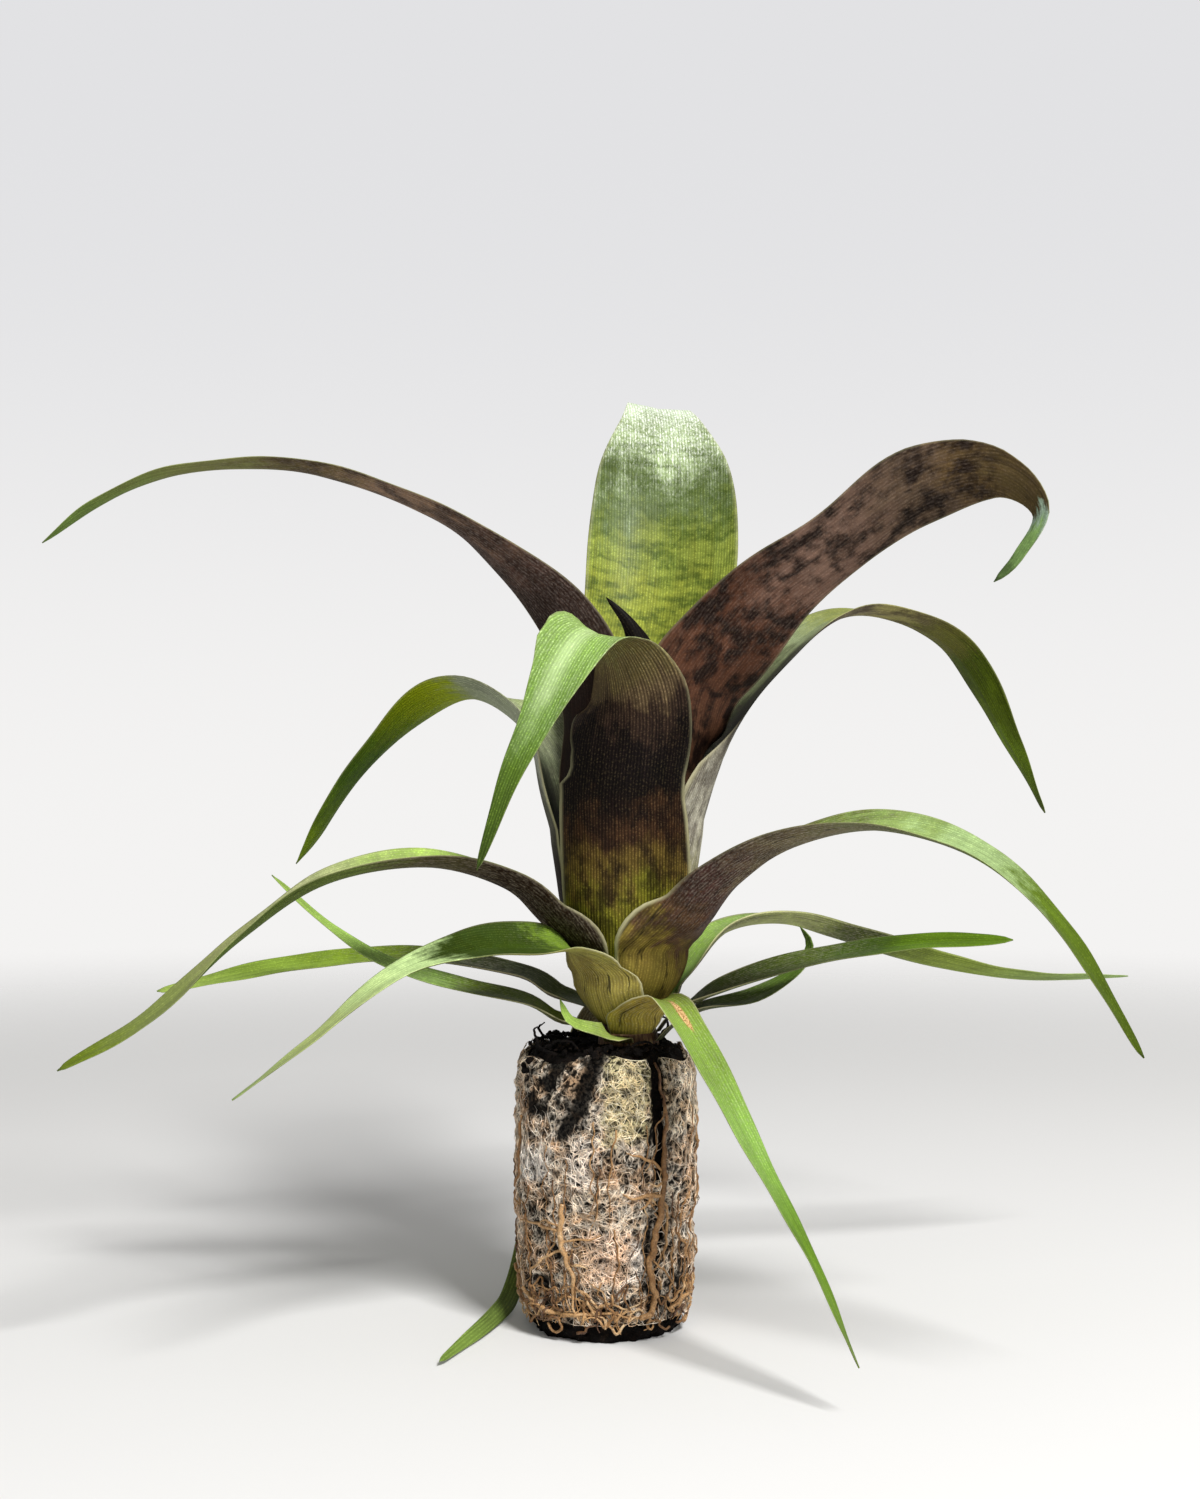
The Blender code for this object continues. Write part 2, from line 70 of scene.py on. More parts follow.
# each leaf: the angle its foot stands at and the layer it is packed in, how far its sheath
# wraps the trunk in degrees (at the foot and at the sheath's top) and how high that is, the
# points its middle runs through, its widths and how it rolls along the blade at even steps,
# the radius of its gutter at the sheath and at the tip, how soon it opens out of the sheath,
# and trims of its two edges (distance from the foot, share of one side, share of the other)
leaves = {
    "leaf_spear": dict(
        azimuth=0, layer=0, wrap=(250, 250), sheathTop=88,
        route=((6, 1, 104), (8, 1, 120), (8, 0, 131), (5, 0, 139), (0, 1, 145)),
        widths=(11, 11, 11, 11, 11, 10, 7.4, 3, 0.6), rolls=(0, -60, -80, -80), gutter=(2.6, 4),
        flare=10,
        # its near-black colours are painted shade: the young spear stands deep in the shaded cup
        look=dict(upper=((0, "#2c2016"), (1, "#17100c")), under=((0, "#241812"), (1, "#0f0a08")),
                  bands=(0, 0, 1), pale=(0, 0), silver=(0, 0, 1), shine=0.1)),
    "leaf_back_upright": dict(
        azimuth=84, layer=1, wrap=(150, 120), sheathTop=118,
        route=((10, 17, 136), (12, 22, 152), (12.5, 30, 171), (12.5, 42, 185), (12, 58, 192),
               (12, 75, 190), (12, 93, 178), (12, 106, 158)),
        widths=(27, 31.5, 33.3, 29, 17.8, 13, 11, 7, 1), rolls=(0, 0, 8, 14, 11, 0),
        gutter=(18, 60), flare=26,
        # the pale stops at 0.57 to 0.68 and the near-white silver are silvery scales with a
        # painted glare on them
        look=dict(upper=((0.25, "#8f9a34"), (0.36, "#98a03a"), (0.43, "#87933c"),
                         (0.49, "#607040"), (0.57, "#98aa78"), (0.68, "#b6c6a2"),
                         (0.78, "#86a050"), (1, "#74903c")),
                  under=((0.2, "#5a4234"), (0.5, "#5f4c3a"), (0.7, "#64663a"), (1, "#6c8438")),
                  bands=(0.85, 0.15, 0.6), bandColour="#44561c", blotches=(0.7, 0.1, 0.7),
                  silver=(0.9, 0.56, 0.8), silverColour="#f4f6ee", ribs=1.0, shine=0.1,
                  speck=0.6)),
    "leaf_upper_right": dict(
        azimuth=322, layer=2, wrap=(140, 92), sheathTop=110,
        route=((17, -9, 125), (22.7, -11, 134.2), (31.7, -15, 144.3), (42, -20, 152),
               (57.5, -29, 163.1), (70.9, -36, 165.5), (78.4, -40, 158.1), (74.4, -40, 149.5),
               (70.3, -38, 144.9)),
        widths=(24, 22.2, 19.4, 15.8, 13.8, 15.3, 11.8, 5, 1.2),
        rolls=(0, -32.3, -52.9, -39.4, -43.6, -61, -45.4, -66), gutter=(20, 30), flare=9,
        trim=((0, 1, 1), (36, 1, 1), (44, 1, 1.28), (49, 1, 1.28), (52, 1, 1.1), (58, 1, 1.05),
              (119, 1, 1), (128, 0.9, 1), (136, 0.7, 1), (143, 0.8, 1), (150, 1, 1)),
        look=dict(upper=((0.3, "#7c8a3c"), (0.7, "#6f8244"), (0.88, "#8b9a70"), (1, "#74805a")),
                  under=((0.2, "#452f20"), (0.45, "#5c3a2a"), (0.6, "#7e6254"), (0.74, "#63503f"),
                         (0.8, "#5c482c"), (0.86, "#5c4c2e"), (0.89, "#54462a"), (0.91, "#9ab09a"),
                         (0.945, "#7a9a58"), (1, "#4c6036")),
                  blotches=(1.0, 0.1, 0.84), blotchColour="#140a08", silver=(0.12, 0.4, 0.86),
                  silverColour="#a08f84", pale=(0.15, 0.3), ribs=0.25, speck=0.35)),
    "leaf_upper_left": dict(
        azimuth=238, layer=3, wrap=(110, 64), sheathTop=110,
        route=((-3, -9, 127), (-8, -8, 139), (-18.3, -9, 149.6), (-33.4, -12, 160.1),
               (-57.9, -15, 168.4), (-82, -18, 167.6), (-97, -20, 161.3), (-107.3, -20, 153.8)),
        widths=(18, 14.7, 11.7, 10.3, 9.5, 6.5, 1), rolls=(0, 0, -42, -48, -49, -29),
        gutter=(12, 20), flare=18,
        trim=((0, 1, 1), (42, 1, 1), (50, 1.18, 1), (58, 1.22, 1), (64, 1.2, 1), (72, 1, 1)),
        look=dict(upper=((0.3, "#5f6a30"), (0.7, "#6e8040"), (1, "#7a9048")),
                  under=((0.2, "#1e1513"), (0.4, "#2a1e19"), (0.5, "#4c362e"), (0.62, "#92745c"),
                         (0.71, "#62542c"), (0.8, "#7b7d46"), (1, "#6b8440")),
                  blotches=(0.8, 0.1, 0.75), silver=(0.3, 0.4, 0.8), silverColour="#9a8d86",
                  pale=(0.1, 0.3), ribs=0.35, speck=0.35)),
    "leaf_middle_right": dict(
        azimuth=28, layer=4, wrap=(120, 100), sheathTop=102,
        route=((23, 9, 117), (32, 14, 129), (45.8, 22, 140.8), (58, 27, 143), (75.2, 34, 136.2),
               (88.1, 39, 116.6), (96.5, 41, 100.6)),
        widths=(22, 19, 16, 14.6, 11.3, 2), rolls=(0, 3, -2, -4, 9), gutter=(18, 18), flare=18,
        trim=((0, 1, 1), (24, 1.35, 1), (38, 1.65, 1), (47, 1.65, 1), (53, 1.3, 1), (59, 1, 1)),
        # the rim, a dark strip along the near edge from 0.31 to 0.5, is painted shade on the
        # underside
        look=dict(upper=((0.15, "#2a251b"), (0.36, "#332f20"), (0.43, "#666b4c"), (0.5, "#98a478"),
                         (0.58, "#8c9248"), (0.8, "#5e7028"), (1, "#66801f")),
                  under=((0.12, "#948e5a"), (0.24, "#c2bca8"), (0.32, "#b0a994"),
                         (0.38, "#463a2c"), (0.5, "#463c2a"), (0.57, "#8a7f5e"), (0.63, "#9e955c"),
                         (0.71, "#6c6b2a"), (0.79, "#4a590a"), (0.86, "#5a6c10"),
                         (0.91, "#68801a"), (1, "#4a5a12")),
                  silver=(0.35, 0.1, 0.28), silverColour="#d6d2c6", blotches=(0.75, 0.1, 0.7),
                  blotchColour="#3a2a20", rim=(0.95, 0.31, 0.5))),
    "leaf_middle_left": dict(
        azimuth=155, layer=5, wrap=(120, 100), sheathTop=100,
        route=((-13, 10, 112), (-18, 13, 120), (-27.3, 18, 125.4), (-37.8, 25, 123),
               (-52.2, 30, 109.6), (-66.9, 34, 89.8)),
        widths=(26, 22.2, 18.5, 15.3, 13.8, 1.2), rolls=(0, 10, 0, -20, -10), gutter=(18, 18),
        flare=18,
        trim=((0, 1, 1), (38, 1, 1), (48, 1.4, 1), (56, 1.45, 1), (62, 1.6, 1), (70, 1, 1)),
        look=dict(upper=((0.15, "#181410"), (0.28, "#221f18"), (0.35, "#484a36"),
                         (0.42, "#72775a"), (0.51, "#8f9a6c"), (0.62, "#84981f"), (0.8, "#5c7812"),
                         (1, "#5c7a18")),
                  under=((0.2, "#2a221a"), (0.3, "#58564a"), (0.38, "#a2a496"), (0.52, "#979f82"),
                         (0.6, "#8f9d08"), (0.78, "#466404"), (1, "#6c8609")),
                  silver=(0.6, 0.44, 0.52), silverColour="#bcc0a4", blotches=(0.7, 0.0, 0.26),
                  pale=(0.6, 0.4))),
    "leaf_front_folded": dict(
        azimuth=268, layer=6, wrap=(150, 96), sheathTop=106,
        route=((5, -19, 120), (4, -19, 128), (1, -21, 134.4), (-3, -26, 136.2), (-7, -31, 131.6),
               (-12.4, -36, 120.4), (-17.6, -38, 109.4), (-23.5, -39, 92.6)),
        widths=(27, 25, 20, 15.5, 10.5, 6.5, 4, 1), rolls=(0, -15, -55, -62, -55, -50, -45),
        gutter=(14, 30), flare=16,
        trim=((0, 1, 1), (20, 1, 0.98), (34, 1, 0.9), (44, 1, 0.82), (48, 1.02, 0.8),
              (48.7, 0.82, 0.8), (53, 0.9, 0.86), (58, 1.2, 0.92), (64, 1.5, 0.99), (69, 1.4, 1),
              (76, 1, 1), (80.3, 1.07, 1), (83.3, 1.1, 1), (85, 1.06, 1), (88, 1.13, 1),
              (93, 1, 1)),
        # the near-black stops at 0.34 to 0.42 of the underside are its dark purple colour darkened
        # further as painted shade on the front face; the light streak on the blade is a painted
        # highlight, and the pale silver there is scales with painted highlight
        look=dict(upper=((0.4, "#7f984c"), (0.55, "#8ea65e"), (0.66, "#82a44c"), (0.76, "#70923c"),
                         (0.88, "#577321"), (1, "#3e5218")),
                  under=((0.1, "#84811c"), (0.17, "#908c2b"), (0.23, "#6e5a28"), (0.29, "#432c1b"),
                         (0.34, "#0e0807"), (0.415, "#140c0c"), (0.448, "#36271f"),
                         (0.48, "#67553c"), (0.52, "#76663f"), (0.56, "#746a38"),
                         (0.62, "#63702f"), (1, "#4c6226")),
                  blotches=(0.85, 0.12, 0.34), blotchColour="#1a0e0c", bands=(0.0, 0, 1),
                  silver=(0.15, 0.56, 0.8), silverColour="#e4f0cc", pale=(0.5, 0.36), drift=0.1,
                  ribs=1.35, shine=0.4, speck=0.8, paintedHighlight=(0.36, -0.8, 3.2, 0.6, 0.77),
                  streaks=0.02)),
    "leaf_lower_right": dict(
        azimuth=304, layer=7, wrap=(96, 94), sheathTop=76,
        route=((17.4, -16.5, 80.8), (23.4, -23, 88.6), (34.6, -32, 96.9), (50, -42, 100.3),
               (66.1, -53, 95.2), (79.1, -60, 82), (90.8, -64, 62.3)),
        widths=(21, 17.6, 14.8, 11, 7, 1), rolls=(0, 15, 24, 15, 31), gutter=(7, 14), flare=14,
        look=dict(upper=((0.2, "#7f9440"), (0.44, "#60681c"), (0.56, "#90a85a"), (0.66, "#a2bb7c"),
                         (0.8, "#4f6411"), (1, "#415208")),
                  under=((0.0, "#a08e40"), (0.1, "#94803a"), (0.16, "#6a4c34"), (0.24, "#4e302c"),
                         (0.38, "#6b6044"), (0.52, "#5f6240"), (0.7, "#5a702a"), (1, "#4e6a20")),
                  blotches=(0.7, 0.1, 0.42), silver=(0.35, 0.18, 0.55), silverColour="#a59c90",
                  drift=0.22, lean=0.006, veins=0.7, pale=(0.9, 0.22))),
    "leaf_lower_left": dict(
        azimuth=208, layer=7, wrap=(86, 86), sheathTop=74,
        route=((-12.7, -11, 81.5), (-19.8, -16, 88.4), (-34.1, -22, 92.6), (-52.2, -29, 89.8),
               (-67.2, -33, 79.9), (-83, -37, 65.7), (-99, -41, 56.6)),
        widths=(17, 14.8, 13.8, 12, 9, 6.5, 2.5), rolls=(0, 0, -3, 8, -10, -19), gutter=(7, 12),
        flare=14,
        look=dict(upper=((0.2, "#5f6c30"), (0.38, "#adcd60"), (0.6, "#a8ad7b"), (0.7, "#929760"),
                         (0.84, "#7e8a48"), (1, "#607110")),
                  under=((0.0, "#4a3b24"), (0.12, "#2c2016"), (0.28, "#261609"), (0.4, "#4c4628"),
                         (0.56, "#5b6a30"), (1, "#507024")),
                  silver=(0.45, 0.1, 0.5), silverColour="#8b8072", pale=(0.3, 0.2))),
    "leaf_back_arching": dict(
        azimuth=90, layer=7, wrap=(100, 90), sheathTop=76,
        route=((5, 22, 87), (6, 38, 95), (6, 57, 93), (6, 74, 80), (6, 86, 62)),
        widths=(18, 15, 13, 10, 7, 1), rolls=(0, 0), gutter=(14, 14), flare=16,
        look=dict(under=((0.0, "#7c6e3c"), (0.2, "#5c4436"), (0.4, "#66584a"), (0.6, "#5f6638"),
                         (1, "#56722a")), blotches=(0.6, 0.1, 0.5))),
    "leaf_front_left": dict(
        azimuth=246, layer=8, wrap=(90, 86), sheathTop=71,
        route=((-7, -16, 76), (-15, -21, 76.9), (-24.7, -27, 77), (-38.7, -36, 73.1),
               (-52.5, -46, 62.7), (-65, -55, 53.7)),
        widths=(15, 14.8, 11.5, 7.8, 5, 1), rolls=(-20, -48, -32, -19, -18), gutter=(10, 16),
        flare=10,
        trim=((0, 1.5, 1), (6, 1.5, 1), (11, 1.25, 0.8), (15, 1, 0.5), (20, 1, 0.7), (26, 1, 1)),
        # the dark stops at 0.31 to 0.46 of the upper side are a painted cast shadow, and the pale
        # stop at 0.55 is a painted sunlit highlight
        look=dict(upper=((0.2, "#76942c"), (0.24, "#7a982a"), (0.31, "#36480e"), (0.46, "#34450f"),
                         (0.55, "#d0eca0"), (0.82, "#a4b26c"), (1, "#8ba060")),
                  under=((0.0, "#bcab54"), (0.12, "#b2a250"), (0.22, "#989348"), (0.5, "#6d7c36"),
                         (1, "#7a8f48")),
                  blotches=(0.5, 0.08, 0.24), blotchColour="#4c3018", pale=(0.7, 0.24),
                  silver=(0.15, 0.0, 0.3), ribs=0.75, veins=0.8, drift=0.16)),
    "leaf_right_trailing": dict(
        azimuth=15, layer=8, wrap=(64, 60), sheathTop=69,
        route=((23.9, 9, 77.2), (36.1, 17, 78.7), (49.4, 24, 74.9), (70.8, 33, 68.3),
               (92, 42, 64.2), (117, 50, 63.8)),
        widths=(12, 13, 13.2, 11.7, 9.3, 1.5), rolls=(0, 8.5, 1, 5, -6), gutter=(9, 16), flare=12,
        look=dict(upper=((0.1, "#8cb048"), (0.4, "#6f8840"), (0.62, "#7c9448"), (1, "#8fa864")),
                  under=((0.0, "#7c7858"), (0.3, "#b1bb71"), (0.44, "#414d14"), (0.62, "#83953c"),
                         (1, "#8faa64")), silver=(0.35, 0.05, 0.5), silverColour="#a19c8c")),
    "leaf_left_slender": dict(
        azimuth=163, layer=8, wrap=(56, 50), sheathTop=63,
        route=((-10.2, 5, 64.7), (-17.8, 8, 68.7), (-40, 12, 71.9), (-65.9, 15, 69.6),
               (-93.8, 19, 64)),
        widths=(10, 9, 8.5, 8, 7, 2), rolls=(0, -9, -16, -20.5, -22), gutter=(8, 14), flare=10,
        look=dict(upper=((0.1, "#4f5c28"), (0.3, "#272c09"), (0.55, "#7e991e"), (0.75, "#88a43a"),
                         (1, "#9ab252")),
                  under=((0.0, "#5c4e38"), (0.25, "#4d4630"), (0.45, "#66783a"), (1, "#86a44e")))),
    "leaf_front_drooping": dict(
        azimuth=276, layer=9, wrap=(84, 84), sheathTop=63,
        route=((11, -14, 66), (15, -20, 62), (20, -29, 54), (27, -41, 41), (36, -52, 25),
               (43, -61, 9)),
        widths=(13, 9, 8, 6.5, 5, 3.5, 1), rolls=(25, 25, 12, 0), gutter=(10, 14), flare=7,
        trim=((0, 1, 1), (2, 0.95, 1), (5, 0.8, 1), (8, 0.6, 1), (12, 0.75, 1), (16, 1, 1)),
        look=dict(upper=((0.1, "#869838"), (0.3, "#7c9c38"), (0.55, "#7ea444"), (0.8, "#5c7c1c"),
                         (1, "#688030")),
                  under=((0.0, "#bcaa48"), (0.12, "#ae9a3e"), (0.3, "#6d7c34"), (1, "#627a28")),
                  bands=(0, 0, 1), pale=(0.6, 0.2), blotches=(0.5, 0.04, 0.16),
                  blotchColour="#4c3018", ribs=0.75, veins=0.8, drift=0.16, scar=(19, 0.9, 5, 0.8),
                  scarColours=((0.35, "#8a5a28"), (0.6, "#e2bd85")))),
    "leaf_right_blunt": dict(
        azimuth=350, layer=9, wrap=(42, 40), sheathTop=62,
        route=((24.1, -6, 67.7), (40, -10, 73.2), (59, -16, 77.2), (77.4, -20, 78.3)),
        widths=(9, 10, 9.4, 8, 6.5, 4), rolls=(0, 13.5, 13, 16.5, 16), gutter=(8, 16), flare=10,
        # the dark stops near its foot, at 0.1 and 0.3, are painted shade
        look=dict(upper=((0.1, "#2c3a10"), (0.3, "#37420e"), (0.45, "#4c5c16"), (0.62, "#3c5209"),
                         (0.8, "#54720f"), (1, "#52700c")),
                  under=((0.0, "#4c4a28"), (0.4, "#4f6028"), (1, "#66802c")))),
    "leaf_left_upcurved": dict(
        azimuth=198, layer=9, wrap=(50, 48), sheathTop=60,
        route=((-9, -6, 61), (-15.7, -7, 64.9), (-27.8, -7, 67.9), (-42.5, -5, 72.2),
               (-54.3, -2, 78.9), (-67.1, 2, 89.3)),
        widths=(9, 8, 6.5, 5, 3.4, 2.4, 1), rolls=(0, -16.8, -29.6, -35.4, -28.6, -22),
        gutter=(8, 14), flare=8,
        look=dict(upper=((0.1, "#64781e"), (0.35, "#54650a"), (0.5, "#98bc5c"), (1, "#86a14a")),
                  under=((0.0, "#4f4a24"), (0.35, "#55661e"), (1, "#7c9a44")))),
    "leaf_back_low": dict(
        azimuth=84, layer=9, wrap=(64, 60), sheathTop=64,
        route=((7, 20, 70), (8, 37, 72), (9, 54, 65), (9, 66, 52)), widths=(11, 9, 8, 6, 1),
        rolls=(0, 0), gutter=(9, 14), flare=10,
        look=dict()),
    "leaf_basal_curl": dict(
        azimuth=250, layer=10, wrap=(56, 50), sheathTop=58,
        route=((-2, -12, 60), (-7, -13, 62), (-9, -11, 66)), widths=(6, 4.5, 3, 1),
        rolls=(-50, -50), gutter=(6, 6), flare=4,
        look=dict(upper=((0.0, "#8fa048"), (1, "#8fae50")),
                  under=((0, "#8a8446"), (1, "#8aa34c")))),
    "leaf_right_curled": dict(
        azimuth=344, layer=10, wrap=(40, 36), sheathTop=60,
        route=((19, -3, 63), (29, -1, 65), (38, 1, 70), (41, 3, 75), (39, 3, 79)),
        widths=(8, 7.5, 6, 3.5, 1), rolls=(0, 30, 20), gutter=(8, 12), flare=6,
        look=dict(upper=((0.1, "#4a5c20"), (1, "#55702a")),
                  under=((0, "#3e4420"), (1, "#4f6424")))),
    "leaf_back_drooping": dict(
        azimuth=110, layer=10, wrap=(44, 40), sheathTop=60,
        route=((1, 16, 62), (-3, 21, 57), (-8, 23, 44), (-13, 22, 28), (-16, 19, 14), (-19, 11, 4),
               (-22, -2, 2), (-31, -30, 1)),
        widths=(7, 7, 6, 5, 4, 3, 1), rolls=(0, 0), gutter=(8, 12), flare=6,
        look=dict(upper=((0.2, "#5c7030"), (0.7, "#4f6630"), (1, "#7c9060")))),
}

# leaves that are handed the slot name leaf_dark rather than leaf
darkLeaves = ("leaf_spear", "leaf_front_folded", "leaf_lower_left", "leaf_lower_right")


def tint(code):
    # "#rrggbb" as the linear colour that a shader takes
    parts = [int(code[i:i + 2], 16) / 255 for i in (1, 3, 5)]
    return tuple(p / 12.92 if p <= 0.04045 else ((p + 0.055) / 1.055) ** 2.4 for p in parts) + (1,)


def smoothStep(value, low=0.0, high=1.0):
    # 0 up to low and 1 from high on, smoothly between
    part = np.clip((np.asarray(value, float) - low) / (high - low), 0, 1)
    return part * part * (3 - 2 * part)


def curveThrough(knots, steps):
    # a smooth line through the knots, in so many steps from each to the next
    knots = np.asarray(knots, float)
    padded = np.vstack([2 * knots[0] - knots[1], knots, 2 * knots[-1] - knots[-2]])
    t = (np.arange(steps) / steps)[:, None]
    runs = []
    for i in range(len(knots) - 1):
        a, b, c, d = padded[i:i + 4]
        runs.append(0.5 * (2 * b + (c - a) * t + (2 * a - 5 * b + 4 * c - d) * t ** 2
                           + (3 * b - a - 3 * c + d) * t ** 3))
    return np.vstack(runs + [knots[-1:]])


def lengthsAlong(line):
    return np.concatenate([[0], np.cumsum(np.linalg.norm(np.diff(line, axis=0), axis=1))])


def alongValues(values, share):
    # a smooth value at each share of the length, from values at even steps
    smooth = curveThrough([(v, 0) for v in values], 12)[:, 0]
    return np.interp(share, np.linspace(0, 1, len(smooth)), smooth)


def sheathRadius(height, layer):
    # from the stem at its foot, a sheath spreads to its layer of the trunk
    foot = trunk["stemFoot"] + trunk["layerRise"] * (trunk["outerLayer"] - layer)
    atStem = np.interp(foot, (trunk["stemFoot"], trunk["stemTop"]),
                       (trunk["stemRadius"], trunk["stemTopRadius"])) + trunk["gap"]
    atStem += trunk["halfBlade"]
    if layer == 0:
        return atStem
    full = np.interp(height, trunk["heights"], trunk["radii"])
    full -= trunk["layerPitch"] * (trunk["outerLayer"] - layer)
    rise = np.clip((height - foot) / trunk["spread"], 0, 1)
    return atStem + (full - atStem) * math.sin(rise * math.pi / 2)


def leafLine(leaf):
    # up inside its layer, then along its route
    turn = math.radians(leaf["azimuth"])
    foot = trunk["stemFoot"] + trunk["layerRise"] * (trunk["outerLayer"] - leaf["layer"])
    heights = np.linspace(foot, leaf["sheathTop"], 2 + int((leaf["sheathTop"] - foot) / 4))
    knots = []
    for height in heights:
        radius = sheathRadius(height, leaf["layer"])
        knots.append((trunk["x"] + radius * math.cos(turn), trunk["y"] + radius * math.sin(turn),
                      height))
    line = curveThrough(knots + list(leaf["route"]), 12)
    return line, lengthsAlong(line)[12 * (len(heights) - 1)]


def leafFrames(line, azimuth):
    # at each step, the direction across the leaf and the way its upper side faces
    along = np.gradient(line, axis=0)
    along /= np.linalg.norm(along, axis=1, keepdims=True)
    turn = math.radians(azimuth)
    across = np.array((-math.sin(turn), math.cos(turn), 0))
    sides = []
    for direction in along:
        across = across - direction * across.dot(direction)
        across /= np.linalg.norm(across)
        sides.append(across)
    sides = np.array(sides)
    return sides, np.cross(along, sides)


def unit(vector):
    return vector / np.linalg.norm(vector)


def leafSurface(leaf, seed):
    # the leaf's middle surface and its normals, one row for each step from foot to tip
    line, sheathLength = leafLine(leaf)
    sides, faces = leafFrames(line, leaf["azimuth"])
    travelled = lengthsAlong(line)
    length = travelled[-1]
    rows = int(length / leafBuild["rowLength"])
    widest = max(max(leaf["widths"]), leaf["wrap"][0] / 7)
    columns = 2 * max(5, math.ceil(widest / leafBuild["columnWidth"] / 2))
    # from -1 at one edge to 1 at the other, closer together towards the edges
    even = np.linspace(-1, 1, columns + 1)
    spots = even + (np.sin(even * math.pi / 2) - even) * leafBuild["crowding"]
    trims = np.array(leaf.get("trim", ((0, 1, 1), (1, 1, 1))), float)
    tipLength = max(leafBuild["bluntTip"] * leaf["widths"][-1], leafBuild["shortestTip"])
    points, normals, places, shares = [], [], [], []
    for distance in np.linspace(0, length, rows + 1):
        centre, side, face = (np.array([np.interp(distance, travelled, part[:, k])
                                        for k in range(3)]) for part in (line, sides, faces))
        blade = max(0, (distance - sheathLength) / (length - sheathLength))
        roll = math.radians(float(alongValues(leaf["rolls"], blade)))
        side, face = (side * math.cos(roll) + face * math.sin(roll),
                      face * math.cos(roll) - side * math.sin(roll))
        held = 1 - float(smoothStep((distance - sheathLength) / leaf["flare"]))
        toAxis = np.array((trunk["x"] - centre[0], trunk["y"] - centre[1], 0))
        radius = np.linalg.norm(toAxis)
        inward = toAxis / radius
        if leaf["layer"] == 0:
            turn = math.radians(leaf["azimuth"])
            inward = -np.array((math.cos(turn), math.sin(turn), 0))
            radius = leaf["gutter"][0]
        roundTrunk = np.array((inward[1], -inward[0], 0))
        side = unit(side * (1 - held) + roundTrunk * held)
        face = face * (1 - held) + inward * held
        face = unit(face - side * face.dot(side))
        gutter = leaf["gutter"][0] * (1 - blade) + leaf["gutter"][1] * blade
        bend = held / radius + (1 - held) / gutter
        climb = min(1, distance / sheathLength)
        wrap = leaf["wrap"][0] * (1 - climb) + leaf["wrap"][1] * climb
        width = held * math.radians(wrap) * radius
        width += (1 - held) * float(alongValues(leaf["widths"], blade))
        tip = min(1, (length - distance) / tipLength)
        width *= max(leafBuild["tipWidth"], math.sqrt(1 - (1 - tip) ** 2)) if tip < 1 else 1
        trimMinus = np.interp(distance, trims[:, 0], trims[:, 1])
        trimPlus = np.interp(distance, trims[:, 0], trims[:, 2])
        arcs = np.where(spots < 0, spots * trimMinus, spots * trimPlus) * width / 2
        angles = (arcs * bend)[:, None]
        row = centre + (side * np.sin(angles) + face * (1 - np.cos(angles))) / bend
        normal = face * np.cos(angles) - side * np.sin(angles)
        wave = np.sin(distance / leafBuild["rippleLength"] * math.tau + seed + spots * 2)
        sway = leafBuild["ripple"] * np.abs(spots) ** 3 * wave * blade ** 0.5
        crease = leafBuild["crease"] * np.exp(-(arcs / leafBuild["creaseWidth"]) ** 2)
        crease *= min(1, width / 8)
        points.append(row + normal * (sway - crease)[:, None])
        normals.append(normal)
        places.append(np.stack([arcs, np.full(len(arcs), distance)], axis=1))
        shares.append(np.stack([np.full(len(arcs), distance / length), spots], axis=1))
    return np.array(points), np.array(normals), np.array(places), np.array(shares)


def shellFaces(rows, columns):
    # two sheets of rows by columns points, the second after the first, closed round their edges
    index = np.arange(rows * columns).reshape(rows, columns)
    a, b = index[:-1, :-1].ravel(), index[:-1, 1:].ravel()
    c, d = index[1:, 1:].ravel(), index[1:, :-1].ravel()
    other = rows * columns
    faces = [np.stack([d, c, b, a], 1), np.stack([a, b, c, d], 1) + other]
    rim = np.concatenate([index[0, :], index[1:, -1], index[-1, -2::-1], index[-2:0:-1, 0]])
    after = np.roll(rim, -1)
    faces.append(np.stack([rim, after, after + other, rim + other], 1))
    return np.vstack(faces)


def meshPiece(name, points, faces, values=None):
    # a smooth piece from points in mm, with the values that its skin reads
    mesh = bpy.data.meshes.new(name)
    mesh.from_pydata((np.asarray(points) * mm).tolist(), [], [list(f) for f in faces])
    mesh.update()
    for label, data in (values or {}).items():
        data = np.asarray(data, np.float32)
        kind, field = ("FLOAT_VECTOR", "vector") if data.ndim > 1 else ("FLOAT", "value")
        mesh.attributes.new(label, kind, "POINT").data.foreach_set(field, data.ravel())
    mesh.polygons.foreach_set("use_smooth", [True] * len(mesh.polygons))
    piece = bpy.data.objects.new(name, mesh)
    bpy.context.scene.collection.objects.link(piece)
    return piece


def settle(piece, material, slot, *nodes):
    # its skin and the nodes of the part that it takes the place of; the slot is not used
    piece.data.materials.append(material)
    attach(piece, "root")
    if nodes:
        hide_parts(*nodes)


# a value in a shader, so that a sum of values is written as a sum
class Wire:
    def __init__(self, socket):
        self.socket, self.tree = socket, socket.id_data

    def __add__(self, other):
        return calc("ADD", self, other)

    def __sub__(self, other):
        return calc("SUBTRACT", self, other)

    def __rsub__(self, other):
        return calc("SUBTRACT", other, self)

    def __mul__(self, other):
        return calc("MULTIPLY", self, other)

    def __truediv__(self, other):
        return calc("DIVIDE", self, other)

    def __lt__(self, other):
        return calc("LESS_THAN", self, other)

    def __abs__(self):
        return calc("ABSOLUTE", self)


